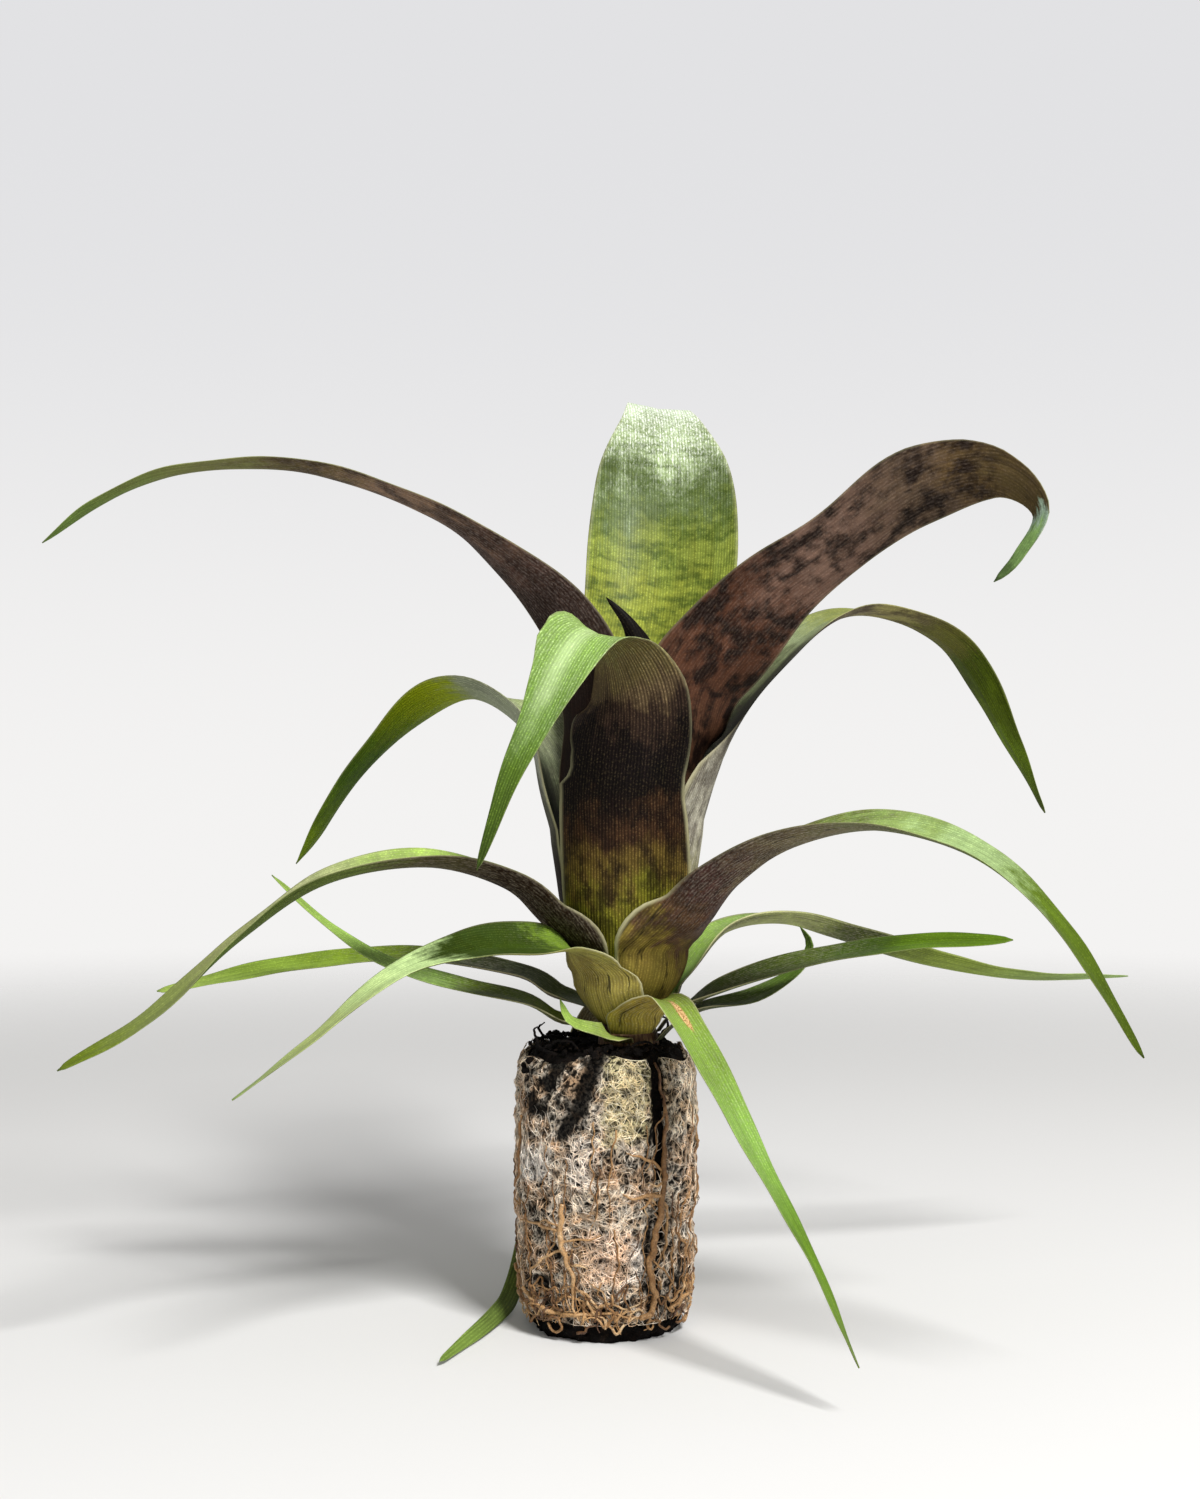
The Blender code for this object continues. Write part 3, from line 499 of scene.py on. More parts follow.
def put(tree, kind, feeds=None, **settings):
    # a node, with the values or wires that feed its inputs
    made = tree.nodes.new(kind)
    made.location = (len(tree.nodes) % 12 * 190 - 1100, 500 - len(tree.nodes) // 12 * 260)
    for key, value in settings.items():
        setattr(made, key, value)
    for key, value in (feeds or {}).items():
        if isinstance(value, Wire):
            tree.links.new(value.socket, made.inputs[key])
        else:
            made.inputs[key].default_value = value
    return made


def wire(tree, kind, feeds, output=0, **settings):
    # the same, as the wire from one of its outputs
    return Wire(put(tree, kind, feeds, **settings).outputs[output])


def calc(operation, *terms):
    tree = next(term.tree for term in terms if isinstance(term, Wire))
    return wire(tree, "ShaderNodeMath", dict(enumerate(terms)), operation=operation)


def vectorCalc(operation, first, *others, output=0):
    return wire(first.tree, "ShaderNodeVectorMath", dict(enumerate((first,) + others)), output,
                operation=operation)


def ease(value, low, high, start=0.0, end=1.0):
    # from start to end, smoothly, as the value goes from low to high
    return wire(value.tree, "ShaderNodeMapRange", dict(enumerate((value, low, high, start, end))),
                interpolation_type="SMOOTHSTEP")


def between(value, start, end, soft=0.05):
    # 1 from start to end, with soft ends
    return (ease(value, start - soft, start + soft)
            * (1 - ease(value, end - soft, end + soft)))


def mixColour(share, first, second, blend="MIX"):
    return wire(first.tree, "ShaderNodeMix", {0: share, 6: first, 7: second}, 2,
                data_type="RGBA", blend_type=blend)


def shade(colour, level):
    return mixColour(1.0, colour, level, "MULTIPLY")


def stretch(vector, scale, shift=(0, 0, 0)):
    return wire(vector.tree, "ShaderNodeMapping",
                {"Vector": vector, "Scale": scale, "Location": shift})


def grain(vector, scale, detail=2.0, roughness=0.5, distortion=0.0, shift=(0, 0, 0), output=0):
    # noise, with one scale or with one for each direction
    if isinstance(scale, tuple):
        vector, scale = stretch(vector, scale, shift), 1.0
    return wire(vector.tree, "ShaderNodeTexNoise", {
        "Vector": vector, "Scale": scale, "Detail": detail, "Roughness": roughness,
        "Distortion": distortion}, output)


def apart(vector):
    return [Wire(part) for part in put(vector.tree, "ShaderNodeSeparateXYZ", {0: vector}).outputs]


def read(tree, label, output="Fac"):
    return wire(tree, "ShaderNodeAttribute", None, output, attribute_name=label)


def toObject(tree):
    # the piece's own coordinates in mm
    return stretch(wire(tree, "ShaderNodeTexCoord", None, "Object"), (1 / mm,) * 3)


def ramp(value, stops):
    made = put(value.tree, "ShaderNodeValToRGB", {0: value})
    made.color_ramp.interpolation = "EASE"
    while len(made.color_ramp.elements) < len(stops):
        made.color_ramp.elements.new(0.5)
    for element, (position, code) in zip(made.color_ramp.elements, stops):
        element.position = position
        element.color = tint(code)
    return Wire(made.outputs[0])


def newGroup(name, **inputs):
    # a node group and a wire from each of its inputs; a tuple makes a vector input
    tree = bpy.data.node_groups.new(name, "ShaderNodeTree")
    for label, value in inputs.items():
        kind = "NodeSocketVector" if isinstance(value, tuple) else "NodeSocketFloat"
        socket = tree.interface.new_socket(label, in_out="INPUT", socket_type=kind)
        socket.default_value = value
    into = put(tree, "NodeGroupInput").outputs
    return tree, [Wire(into[label]) for label in inputs]


def closeGroup(tree, **results):
    kinds = {"RGBA": "NodeSocketColor", "VECTOR": "NodeSocketVector", "VALUE": "NodeSocketFloat"}
    for label, result in results.items():
        tree.interface.new_socket(label, in_out="OUTPUT", socket_type=kinds[result.socket.type])
    put(tree, "NodeGroupOutput", results)
    return tree


def useGroup(tree, group, **feeds):
    return [Wire(part) for part in put(tree, "ShaderNodeGroup", feeds, node_tree=group).outputs]


def newMaterial(name, **settings):
    material = bpy.data.materials.new(name)
    material.use_nodes = True
    shader = material.node_tree.nodes["Principled BSDF"]
    for key, value in settings.items():
        shader.inputs[key].default_value = value
    return material, material.node_tree, shader


def finish(shader, colour, roughness, height, strength, distance):
    # the bump's strength, and its height in mm
    normal = wire(colour.tree, "ShaderNodeBump",
                  {"Height": height, "Strength": strength, "Distance": distance * mm})
    for label, value in (("Base Color", colour), ("Roughness", roughness), ("Normal", normal)):
        colour.tree.links.new(value.socket, shader.inputs[label])


def buildLeafPlace():
    # where a point lies on its leaf: mm across and along, its share of the length, how near
    # the margin it is, and 1 on the underside
    tree, _ = newGroup("leafPlace")
    along, across, underside = apart(read(tree, "leafShare", "Vector"))
    return closeGroup(tree, Place=read(tree, "leafPlace", "Vector"), Share=along,
                      Margin=abs(across), Underside=underside)


def buildCrossBands():
    # wavy dark bands across the upper side
    tree, (place, share, strength, start, end, spacing) = newGroup(
        "crossBands", Place=(0, 0, 0), Share=0.0, Strength=0.5, Start=0.1, End=0.7, Spacing=3.3)
    bent = grain(place, (0.2, 0.1, 1)) * 14.0 + apart(place)[1]
    bent += grain(place, (0.45, 0.3, 1), 3.0, 0.6, shift=(3, 7, 0)) * 3.0
    broken = grain(place, (0.15, 0.42, 1), 3.0, shift=(11, 5, 0))
    broken += calc("SINE", bent * math.tau / spacing) * 0.06
    cloud = grain(place, (0.5, 0.7, 1), 4.0, 0.6, shift=(2, 8, 0))
    mask = ease(broken, 0.34, 0.68) * ease(cloud, 0.3, 0.62, 0.45, 1.0)
    return closeGroup(tree, Mask=mask * between(share, start, end) * strength)


def buildBlotches():
    # dark blotches and a net of dark lines on the underside
    tree, (place, share, strength, start, end) = newGroup(
        "darkBlotches", Place=(0, 0, 0), Share=0.0, Strength=0.5, Start=0.0, End=0.5)
    soft = grain(place, (0.3, 0.19, 1), 4.0, 0.58, 0.15, shift=(5, 2, 0))
    shake = grain(place, (0.42, 0.3, 1), 4.0, 0.62, shift=(9, 4, 0), output="Color")
    shaken = vectorCalc("MULTIPLY_ADD", shake, (2.6, 2.6, 0), stretch(place, (0.27, 0.18, 0.3)))
    net = wire(tree, "ShaderNodeTexVoronoi", {"Vector": shaken, "Scale": 1.0},
               feature="DISTANCE_TO_EDGE")
    lines = ease(net, 0.0, 0.4, 0.4, 0.0) * ease(soft, 0.36, 0.56, 0.15, 1.0)
    mask = calc("MAXIMUM", ease(soft, 0.37, 0.62, 0.0, 0.95), lines)
    return closeGroup(tree, Mask=mask * between(share, start, end) * strength)


def buildRibs():
    # fine ribs that run along the leaf, streaks between them and a few thin veins
    tree, (place, spacing) = newGroup("leafRibs", Place=(0, 0, 0), Spacing=0.62)
    across = apart(place)[0]
    drift = grain(place, (0.8, 0.07, 1))
    rib = calc("SINE", across * math.tau / spacing + drift * 5.0) * 0.5 + 0.5
    streak = grain(place, (1.5, 0.05, 1), 3.0, 0.6, shift=(2, 9, 0))
    vein = ease(calc("PINGPONG", across * 0.31 + drift * 1.3, 0.5), 0.0, 0.06, 1.0, 0.0)
    return closeGroup(tree, Rib=rib, Streak=streak, Vein=vein)


def makeLeafSkin(name, look, groups):
    material, tree, shader = newMaterial(
        name, **{"Specular IOR Level": 0.06, "Coat Roughness": 0.3})
    place, along, margin, underside = useGroup(tree, groups["place"])
    rib, streak, vein = useGroup(tree, groups["ribs"], Place=place)
    across = apart(place)[0]
    mottle = grain(place, (0.13, 0.07, 1), 4.0, 0.6, shift=(4, 4, 0))
    fine = grain(place, (3.4, 2.2, 1), 2.0, 0.6)
    patch = grain(place, (0.36, 0.24, 1), 4.0, 0.65, shift=(8, 1, 0))
    # the colours along the leaf, with wandering ends, then the bands and the blotches
    share = along + (mottle - 0.5) * 0.16 + (patch - 0.5) * look["drift"]
    share += (streak - 0.5) * look["streaks"]
    share += across * look["lean"]
    sides = []
    for side, marks, ink in (("upper", "bands", "bandColour"),
                             ("under", "blotches", "blotchColour")):
        strength, start, end = look[marks]
        mask, = useGroup(tree, groups[marks], Place=place, Share=along, Strength=strength,
                         Start=start, End=end)
        sides.append(mixColour(mask, ramp(share, look[side]), tint(look[ink])))
    colour = mixColour(underside, *sides)
    # lighter and darker by streak, patch, rib and vein
    level = (streak * 0.9 + 0.5) * (mottle + 0.46)
    level *= 1 - (1 - rib) * (underside * 0.22 + 0.16) * look["ribs"]
    level *= 1 - vein * underside * look["veins"]
    colour = shade(colour, level)
    # silvery scales sit on the ribs
    strength, start, end = look["silver"]
    scales = ease(grain(place, (3.0, 1.1, 1), 3.0, 0.65, shift=(6, 2, 0)), 0.4, 0.64)
    scales *= (rib * 0.6 + 0.4) * between(share, start, end, 0.1) * strength
    colour = mixColour(scales, colour, tint(look["silverColour"]))
    # fine pale specks in rows along the ribs
    specks = ease(grain(place, (2.3, 2.9, 1), 2.0, 0.7, shift=(1, 3, 0)), 0.5, 0.66)
    lift = mixColour(1.0, colour, tint(look["speckColour"]), "ADD")
    colour = mixColour(specks * (rib + 0.1) * look["speck"], colour, lift, "ADD")
    # a painted highlight: a light streak along the blade
    strength, centre, half, start, end = look["paintedHighlight"]
    paintedHighlight = ease(abs(across - centre), 0.0, half, strength, 0.0)
    paintedHighlight *= between(share, start, end, 0.07) * (1 - underside) * (streak * 0.8 + 0.6)
    colour = mixColour(paintedHighlight, colour, tint(look["paintedHighlightColour"]))
    # a papery pale margin, widest on the sheath, and a painted highlight along every edge
    strength, end = look["pale"]
    paper = ease(margin, 0.9, 0.985) * (1 - ease(along, end - 0.06, end + 0.06)) * strength
    # painted highlight: a thin light line along every edge
    paper += ease(margin, 0.93, 1.0) * 0.18
    colour = mixColour(paper, colour, tint(look["paleColour"]))
    # painted shade: a dark strip along the near edge, where the leaf's underside lies in shadow
    strength, start, end = look["rim"]
    edge = ease(margin, 0.2, 0.5) * (across < 0.0) * between(along, start, end, 0.04) * strength
    colour = mixColour(edge, colour, tint(look["shadedEdgeColour"]))
    if "scar" in look:
        up, aside, long, wide = look["scar"]
        offset = vectorCalc("SUBTRACT", place, (aside, up, 0))
        flat = vectorCalc("MULTIPLY", offset, (1 / wide, 1 / long, 0))
        reach = vectorCalc("LENGTH", flat, output="Value")
        dry = ease(fine * 0.9 + reach, 1.2, 1.5, 1.0, 0.0)
        colour = mixColour(dry, colour, ramp(fine, look["scarColours"]))
    coat = (1 - underside * 0.85) * (rib * 0.7 + 0.3) * look["shine"]
    tree.links.new(coat.socket, shader.inputs["Coat Weight"])
    roughness = underside * 0.14 + look["rough"] + (fine - 0.5) * 0.25
    height = rib * (0.6 * look["ribs"]) + fine * 0.45 + mottle * 1.2
    finish(shader, colour, roughness, height, 0.55, 0.12)
    return material


def growLeaves():
    groups = dict(place=buildLeafPlace(), bands=buildCrossBands(), blotches=buildBlotches(),
                  ribs=buildRibs())
    thin, full = leafBuild["edgeThickness"], leafBuild["thickness"]
    for seed, (node, leaf) in enumerate(leaves.items()):
        points, normals, places, shares = leafSurface(leaf, seed)
        rows, columns = points.shape[:2]
        thick = thin + (full - thin) * (1 - np.abs(shares[..., 1]) ** 4)
        thick *= 1 - leafBuild["tipThinning"] * smoothStep(shares[..., 0], 0.6, 1.0)
        half = normals * (thick / 2)[..., None]
        both = np.concatenate([(points + half).reshape(-1, 3), (points - half).reshape(-1, 3)])
        count = rows * columns
        place = np.hstack([places.reshape(-1, 2), np.full((count, 1), seed * 13.7)])
        share = np.hstack([np.tile(shares.reshape(-1, 2), (2, 1)),
                           np.repeat([[0.0], [1.0]], count, axis=0)])
        name = node.replace("leaf_", "") + "_leaf"
        piece = meshPiece(name, both, shellFaces(rows, columns),
                          {"leafPlace": np.tile(place, (2, 1)), "leafShare": share})
        skin = makeLeafSkin(name + "_skin", {**plainLook, **leaf["look"]}, groups)
        settle(piece, skin, "leaf_dark" if node in darkLeaves else "leaf", node)
    print("leaves grown:", len(leaves))


# the rooting plug: a peat block in a fleece wrap, sizes in mm; the profile and the well are
# given as radii and heights
plug = dict(
    profile=((14.2, 0), (15.2, 3), (16, 12), (16.5, 26), (16.6, 40), (16.2, 52), (14.5, 55)),
    topHeight=56.0, shoulder=8.5, socketRadius=6.75, socketFoot=45.0,
    blockColumns=150, blockRows=66, lumps=3.4, crumble=1.3, raggedFoot=(3.0, 5.5),
    wrapFoot=4.0, wrapTop=54.5, wrapGap=0.35, wrapThickness=0.9, thinnestWrap=0.22,
    rimWave=1.0, seamAngle=306.0, seamOpening=(1.5, 5.0), seamHeight=54.0,
    midRadius=17.5, outerRadius=17.8)

# mm for one degree round the wrap's middle and round its outside
midDegree, outerDegree = math.radians(plug["midRadius"]), math.radians(plug["outerRadius"])

# the fleece: how lumpy it is, where it is torn (from angle and height to angle and height, how
# wide and how deep), its patches (angles, heights, yellow, white, pink, how far it stands out),
# where it is full of pits (angles, heights, how much), and how far its seam, top and foot
# fray; the fibres on white patches are brushed one way, and most are dropped at the seam
fleece = dict(
    mapTop=58, mapSteps=3, columns=186, rows=84, lumps=(6.0, 0.8), puckers=(2.2, 0.42),
    tears=((264, 55.5, 252, 45.5, 3.6, 0.85), (252, 45.5, 241, 40.3, 3.0, 0.7),
           (239, 55.5, 228, 49.1, 3.2, 0.8), (304, 56, 303, 47, 2.4, 0.8),
           (303, 47, 302, 40, 1.8, 0.75), (272, 35.9, 285, 35.1, 0.9, 0.5),
           (299, 36.0, 299.5, 35.5, 1.3, 0.5), (299, 24.5, 297, 16.8, 1.2, 0.6),
           (217, 22.5, 223, 20.6, 1.2, 0.5), (235, 18.9, 239, 16.7, 1.5, 0.5),
           (210, 45.1, 225, 44.6, 3.0, 0.35), (215, 39.4, 215.5, 39, 1.4, 0.5),
           (250, 27.6, 250.5, 27.3, 0.8, 0.4), (258, 27.5, 258.5, 27.2, 0.8, 0.4),
           (325, 32.5, 325.5, 31.5, 1.2, 0.5), (207, 11.2, 230, 11.7, 1.7, 0.45),
           (319, 12.4, 328, 10.4, 1.6, 0.5), (296, 12, 300, 9, 1.8, 0.5),
           (254, 7, 266, 6.4, 1.8, 0.4), (276, 7.5, 288, 8, 1.5, 0.4), (308, 8, 322, 6, 1.8, 0.4),
           (336, 9, 346, 7, 1.6, 0.4), (226, 7.5, 238, 6, 1.6, 0.4), (16, 8, 30, 7, 1.8, 0.4),
           (78, 8, 90, 6.6, 1.8, 0.4), (130, 7, 150, 8, 1.8, 0.4),
           (20, 44, 34, 40, 1.4, 0.5), (70, 52, 64, 40, 1.6, 0.6), (110, 30, 124, 27, 1.3, 0.5),
           (150, 50, 146, 43, 1.8, 0.5), (172, 24, 164, 19, 1.5, 0.5), (60, 20, 74, 17, 1.4, 0.5)),
    patches=((268, 299, 39, 57, 1.0, 0.0, 0.0, 0.25), (204, 233, 30.5, 37, 0.0, 1.0, 0.0, 0.2),
             (258, 287, 12, 22, 0.0, 0.25, 1.0, 0.2), (285, 296, 12.5, 20, 0.0, 1.0, 0.1, 0.1),
             (308, 356, 40, 57, 0.2, 0.0, 0.0, 0.0), (246, 262, 30, 40, 0.0, 0.7, 0.1, 0.1),
             (30, 66, 26, 40, 0.3, 0.6, 0.0, 0.15), (100, 140, 34, 50, 0.7, 0.0, 0.2, 0.2),
             (120, 160, 8, 20, 0.0, 0.4, 0.8, 0.1)),
    pits=((200, 262, 38, 56, 0.2), (200, 240, 6, 30, 0.14), (306, 352, 4, 56, 0.18),
          (282, 306, 4, 40, 0.1), (262, 304, 24, 38, 0.06), (60, 120, 30, 50, 0.14),
          (140, 180, 10, 36, 0.1), (20, 50, 6, 26, 0.12)),
    frays=(2.0, 0.5, 0.7), toneColours=("#dccfa0", "#f8f1e8", "#fbd6b6"),
    brushing=1.9, seamDrops=(0.88, 0.5), fibres=4200, fibreRadius=0.07,
    fibreLength=(4.0, 9.0), fibreTaper=(0.5, 0.9, 1, 1, 1, 1, 0.9, 0.4), farthestFibre=2.2,
    paleFibres=((0, "#b89a7c"), (0.35, "#e6d6c0"), (0.7, "#fbf3e6"), (1, "#fffaf0")),
    tanFibres=((0, "#3c2a1c"), (0.3, "#8a6a4c"), (0.6, "#cbaa84"), (1, "#ecd6b4")))

# each root: the part's root that it stands for, its radius in mm, how old (pale to dark) and
# where it runs, as angle and height, then its side roots in the same way
thickRoots = {
    "seam_root": dict(
        node="root_seam", radius=0.62, age=0.35,
        path=((292, 5.2), (302, 6.5), (303, 9), (299.5, 13.5), (300.5, 18.5), (303.5, 24),
              (308, 30), (309, 37), (309, 45), (306, 54)), darkens=0.3,
        sides=((0.36, ((306, 28.5), (297, 28.6), (285, 28.4), (279, 29.2))),
               (0.28, ((299, 28.6), (294, 26.5), (292, 26.2))),
               (0.3, ((307, 33.3), (299, 35.3), (292, 36.2), (282, 37.1))),
               (0.3, ((306, 27.6), (311, 24.4), (309, 19.2), (310, 15.8))),
               (0.26, ((307, 31), (302, 30.4), (297, 31.6))),
               (0.24, ((300, 17), (306, 14.6), (312, 13.8))))),
    "front_left_root": dict(
        node="root_front_left", radius=0.52, age=0.2,
        path=((241, 27), (241, 23.5), (241, 19.6), (245, 17), (248, 12.6), (248, 8), (252, 5.1)),
        sides=((0.32, ((241, 22), (228, 22), (215, 22.3), (198, 22.2))),
               (0.22, ((240, 22.9), (230, 23.5), (221, 22.6))),
               (0.28, ((241, 18.2), (230, 16.5), (218, 13.7), (205, 10.4))),
               (0.24, ((241, 19.7), (250, 20.4), (258, 20.8), (266, 21.3))),
               (0.26, ((247, 15.4), (255, 15.5), (259, 15.1))),
               (0.26, ((248, 10.3), (257, 10.2), (263, 8.2), (264, 5.3))))),
    "left_root": dict(
        node="root_left", radius=0.36, age=0.45,
        path=((201, 42.6), (198, 33.6), (190, 27.2), (181, 21.5), (181, 17.5), (190, 13.5)),
        sides=((0.22, ((190, 27), (197, 25), (201, 26.5))),
               (0.2, ((182, 20), (189, 16), (199, 15), (204, 12))))),
    "right_root": dict(
        node="root_right", radius=0.34, age=0.4,
        path=((352, 42), (357, 34.5), (358, 30), (352, 25), (343, 18.7), (337, 13.5)),
        sides=((0.24, ((334, 28), (325, 20.8), (331, 16.5), (331, 9.7))),
               (0.2, ((348, 22), (341, 23.5), (333, 21.5))))),
    "front_ring_root": dict(
        node="root_ring_front", radius=0.44, age=0.25,
        path=((204, 9), (222, 6.2), (246, 5.6), (270, 6.4), (292, 5.2)),
        sides=((0.26, ((230, 6), (240, 9), (256, 8.2), (268, 5))),
               (0.28, ((258, 6), (272, 8.4), (284, 7), (296, 8.5))))),
    "right_ring_root": dict(
        node="root_ring_right", radius=0.42, age=0.3,
        path=((318, 5.6), (336, 8), (354, 6.6), (12, 9)),
        sides=((0.26, ((326, 6.4), (334, 11), (344, 9), (350, 12))),)),
    "back_root": dict(
        node="root_back", radius=0.58, age=0.3,
        path=((90, 46), (86, 35), (91, 24), (87, 13), (92, 7)),
        sides=((0.3, ((88, 32), (98, 29), (108, 30))), (0.3, ((90, 25), (80, 20), (70, 21))),
               (0.26, ((89, 18), (97, 14), (104, 15))))),
    "back_left_root": dict(
        node="root_back_left", radius=0.42, age=0.4,
        path=((138, 30), (143, 22), (138, 13), (141, 8)),
        sides=((0.24, ((141, 24), (150, 20), (158, 21))),
               (0.2, ((141, 17), (132, 14), (126, 10))))),
    "back_right_root": dict(
        node="root_back_right", radius=0.42, age=0.25,
        path=((44, 36), (39, 26), (45, 14), (42, 8)),
        sides=((0.24, ((41, 28), (31, 24), (24, 26))), (0.22, ((43, 18), (52, 15), (58, 11))))),
    "back_ring_root": dict(
        node="root_ring_back", radius=0.42, age=0.35,
        path=((38, 8), (64, 5.8), (96, 7), (128, 5.8)),
        sides=((0.26, ((60, 6), (72, 9.5), (84, 8))), (0.24, ((100, 7), (112, 10), (122, 9))))),
}
# how finely the roots are built and how quickly they sway; one thin dark root beside the
# seam's; fine roots that hang down the wrap; and a tangle of roots round its foot
rootBuild = dict(rowLength=0.55, swayLength=2.6, hairRadius=0.11)
darkRoot = dict(radius=0.17, ages=(0.8, 0.6),
                path=((292, 22.3), (288, 19), (283, 15.3), (283, 10.5)))
fineRoots = dict(count=70, radius=(0.11, 0.2), age=(0.25, 0.75), length=(7, 20),
                 heights=(8, 48))
rootTangle = dict(count=150, radius=(0.1, 0.3), age=(0.05, 0.8), heights=(3.4, 10.5))
# crumbs of peat strewn on the block, clear of the stem, and three on the wrap's rim, each
# as its angle, radius and height
crumbs = dict(count=260, size=(0.35, 1.25), spread=16.0, height=56.2, clear=11.5,
              rim=((203, 17.3, 52.5), (206, 17.6, 51.6), (209, 17, 53.6)))
# black rootlets that curl up out of the peat, as points from their foot
curls = (((-9.5, -13.2, 55.6), (-12.4, -13.6, 56.6), (-13.4, -13.8, 58.4), (-13.9, -13.5, 60.2),
          (-13.2, -13.2, 60.9)),
         ((-12.6, -13.4, 56.4), (-9.8, -13.9, 58.0), (-6.8, -14, 58.0), (-5.2, -13.6, 56.2)),
         ((3.8, -13.6, 55.8), (5.6, -14.1, 57.6), (8.2, -13.8, 57.9), (10.2, -13, 56.2)),
         ((10.8, 11.5, 55.6), (12.8, 12.2, 57.8), (11.6, 12.6, 59.6), (9.4, 12.4, 59.2)),
         ((-12, 8, 55.5), (-13.8, 9, 57.6), (-12.6, 10.6, 58.6)))


def coreRadius(height):
    radii, heights = zip(*plug["profile"])
    return np.interp(height, heights, radii)


def rimHeight(angle):
    # the wrap's top edge rises and dips round the plug
    turn = np.radians(angle)
    return plug["wrapTop"] + plug["rimWave"] * (np.sin(3 * turn) + 0.6 * np.sin(7 * turn + 1))


def onPlug(radius, angle, height):
    turn = np.radians(angle)
    return np.stack([radius * np.cos(turn), radius * np.sin(turn), height], axis=-1)


def rough(points, scale, octaves):
    # a layered noise value for each point, above and below 0
    flat = np.asarray(points, float).reshape(-1, 3) / scale
    values = [noise.fractal(Vector(p), 0.7, 2.1, octaves) for p in flat.tolist()]
    return np.array(values).reshape(np.asarray(points).shape[:-1])


def arcBetween(angle, other):
    return (angle - other + 180) % 360 - 180


def toSegment(angle, height, segment):
    # how far a spot on the wrap is from a line drawn on it, in mm
    startAngle, startHeight, endAngle, endHeight = segment
    px, py = arcBetween(angle, startAngle) * midDegree, height - startHeight
    dx, dy = arcBetween(endAngle, startAngle) * midDegree, endHeight - startHeight
    share = np.clip((px * dx + py * dy) / (dx * dx + dy * dy + 1e-9), 0, 1)
    return np.hypot(px - share * dx, py - share * dy)


def mapFleece():
    # the wrap's relief, torn share and patch tones on an even map of angle and height
    angle, height = np.meshgrid(
        np.linspace(0, 360, 361),
        np.linspace(0, fleece["mapTop"], fleece["mapTop"] * fleece["mapSteps"] + 1))
    spots = onPlug(coreRadius(height) + 1.0, angle, height)
    relief = rough(spots, fleece["lumps"][0], 2) * fleece["lumps"][1]
    relief += rough(spots + 31, fleece["puckers"][0], 3) * fleece["puckers"][1]
    fray = rough(spots + 77, 1.5, 3)
    pitted = rough(spots + 140, 1.25, 2)
    for low, high, bottom, top, amount in fleece["pits"]:
        inside = np.minimum(arcBetween(angle, low), arcBetween(high, angle)) * midDegree
        inside = np.minimum(inside, np.minimum(height - bottom, top - height))
        pitted += amount * smoothStep(inside + fray * 3, -1.5, 2.5)
    tones = np.zeros(angle.shape + (3,))
    for low, high, bottom, top, *tone, stand in fleece["patches"]:
        middle, half = (low + high) / 2, (high - low) / 2 * midDegree
        inside = np.minimum(half - np.abs(arcBetween(angle, middle)) * midDegree,
                            np.minimum(height - bottom, top - height))
        share = smoothStep(inside + fray * 1.6, -0.7, 0.9)
        tones = tones * (1 - share[..., None]) + np.array(tone) * share[..., None]
        relief += share * stand
        pitted -= 0.1 * share
    torn = smoothStep(pitted, 0.16, 0.34)
    for *segment, width, depth in fleece["tears"]:
        away = toSegment(angle, height, segment) + fray * 0.55
        share = 1 - smoothStep(away, width * 0.32, width * 0.72)
        relief -= share * depth
        torn = np.maximum(torn, share)
    relief -= 0.3 * torn
    return dict(relief=np.clip(relief, -0.75, 0.95), torn=torn, tones=tones)


def readMap(table, angle, height):
    # what a map of the wrap says at an angle and height, even between its points
    column = np.asarray(angle, float) % 360
    row = np.clip(np.asarray(height, float) * fleece["mapSteps"], 0, len(table) - 1.001)
    i, j = row.astype(int), column.astype(int)
    u, v = row - i, column - j
    if table.ndim > 2:
        u, v = u[..., None], v[..., None]
    return ((table[i, j] * (1 - u) + table[i + 1, j] * u) * (1 - v)
            + (table[i, j + 1] * (1 - u) + table[i + 1, j + 1] * u) * v)


def skinRadius(maps, angle, height):
    return (coreRadius(height) + plug["wrapGap"] + plug["wrapThickness"]
            + readMap(maps["relief"], angle, height))


def tubes(strands, sides):
    # closed tapered tubes: each strand is its points and its radii
    points, faces, base = [], [], 0
    turns = np.arange(sides) / sides * math.tau
    for line, radii in strands:
        along = np.gradient(line, axis=0)
        along /= np.linalg.norm(along, axis=1, keepdims=True) + 1e-9
        out = line * (1, 1, 0)
        out /= np.linalg.norm(out, axis=1, keepdims=True) + 1e-9
        out = out + (0.13, 0.07, 0.05)
        across = np.cross(along, out)
        across /= np.linalg.norm(across, axis=1, keepdims=True) + 1e-9
        up = np.cross(across, along)
        ring = (across[:, None] * np.cos(turns)[:, None] + up[:, None] * np.sin(turns)[:, None])
        points.append((line[:, None] + ring * radii[:, None, None]).reshape(-1, 3))
        for row in range(len(line) - 1):
            low = base + row * sides
            for k in range(sides):
                near = (k + 1) % sides
                faces.append((low + k, low + near, low + sides + near, low + sides + k))
        faces.append(tuple(range(base + sides - 1, base - 1, -1)))
        last = base + (len(line) - 1) * sides
        faces.append(tuple(range(last, last + sides)))
        base += len(line) * sides
    return np.vstack(points), faces


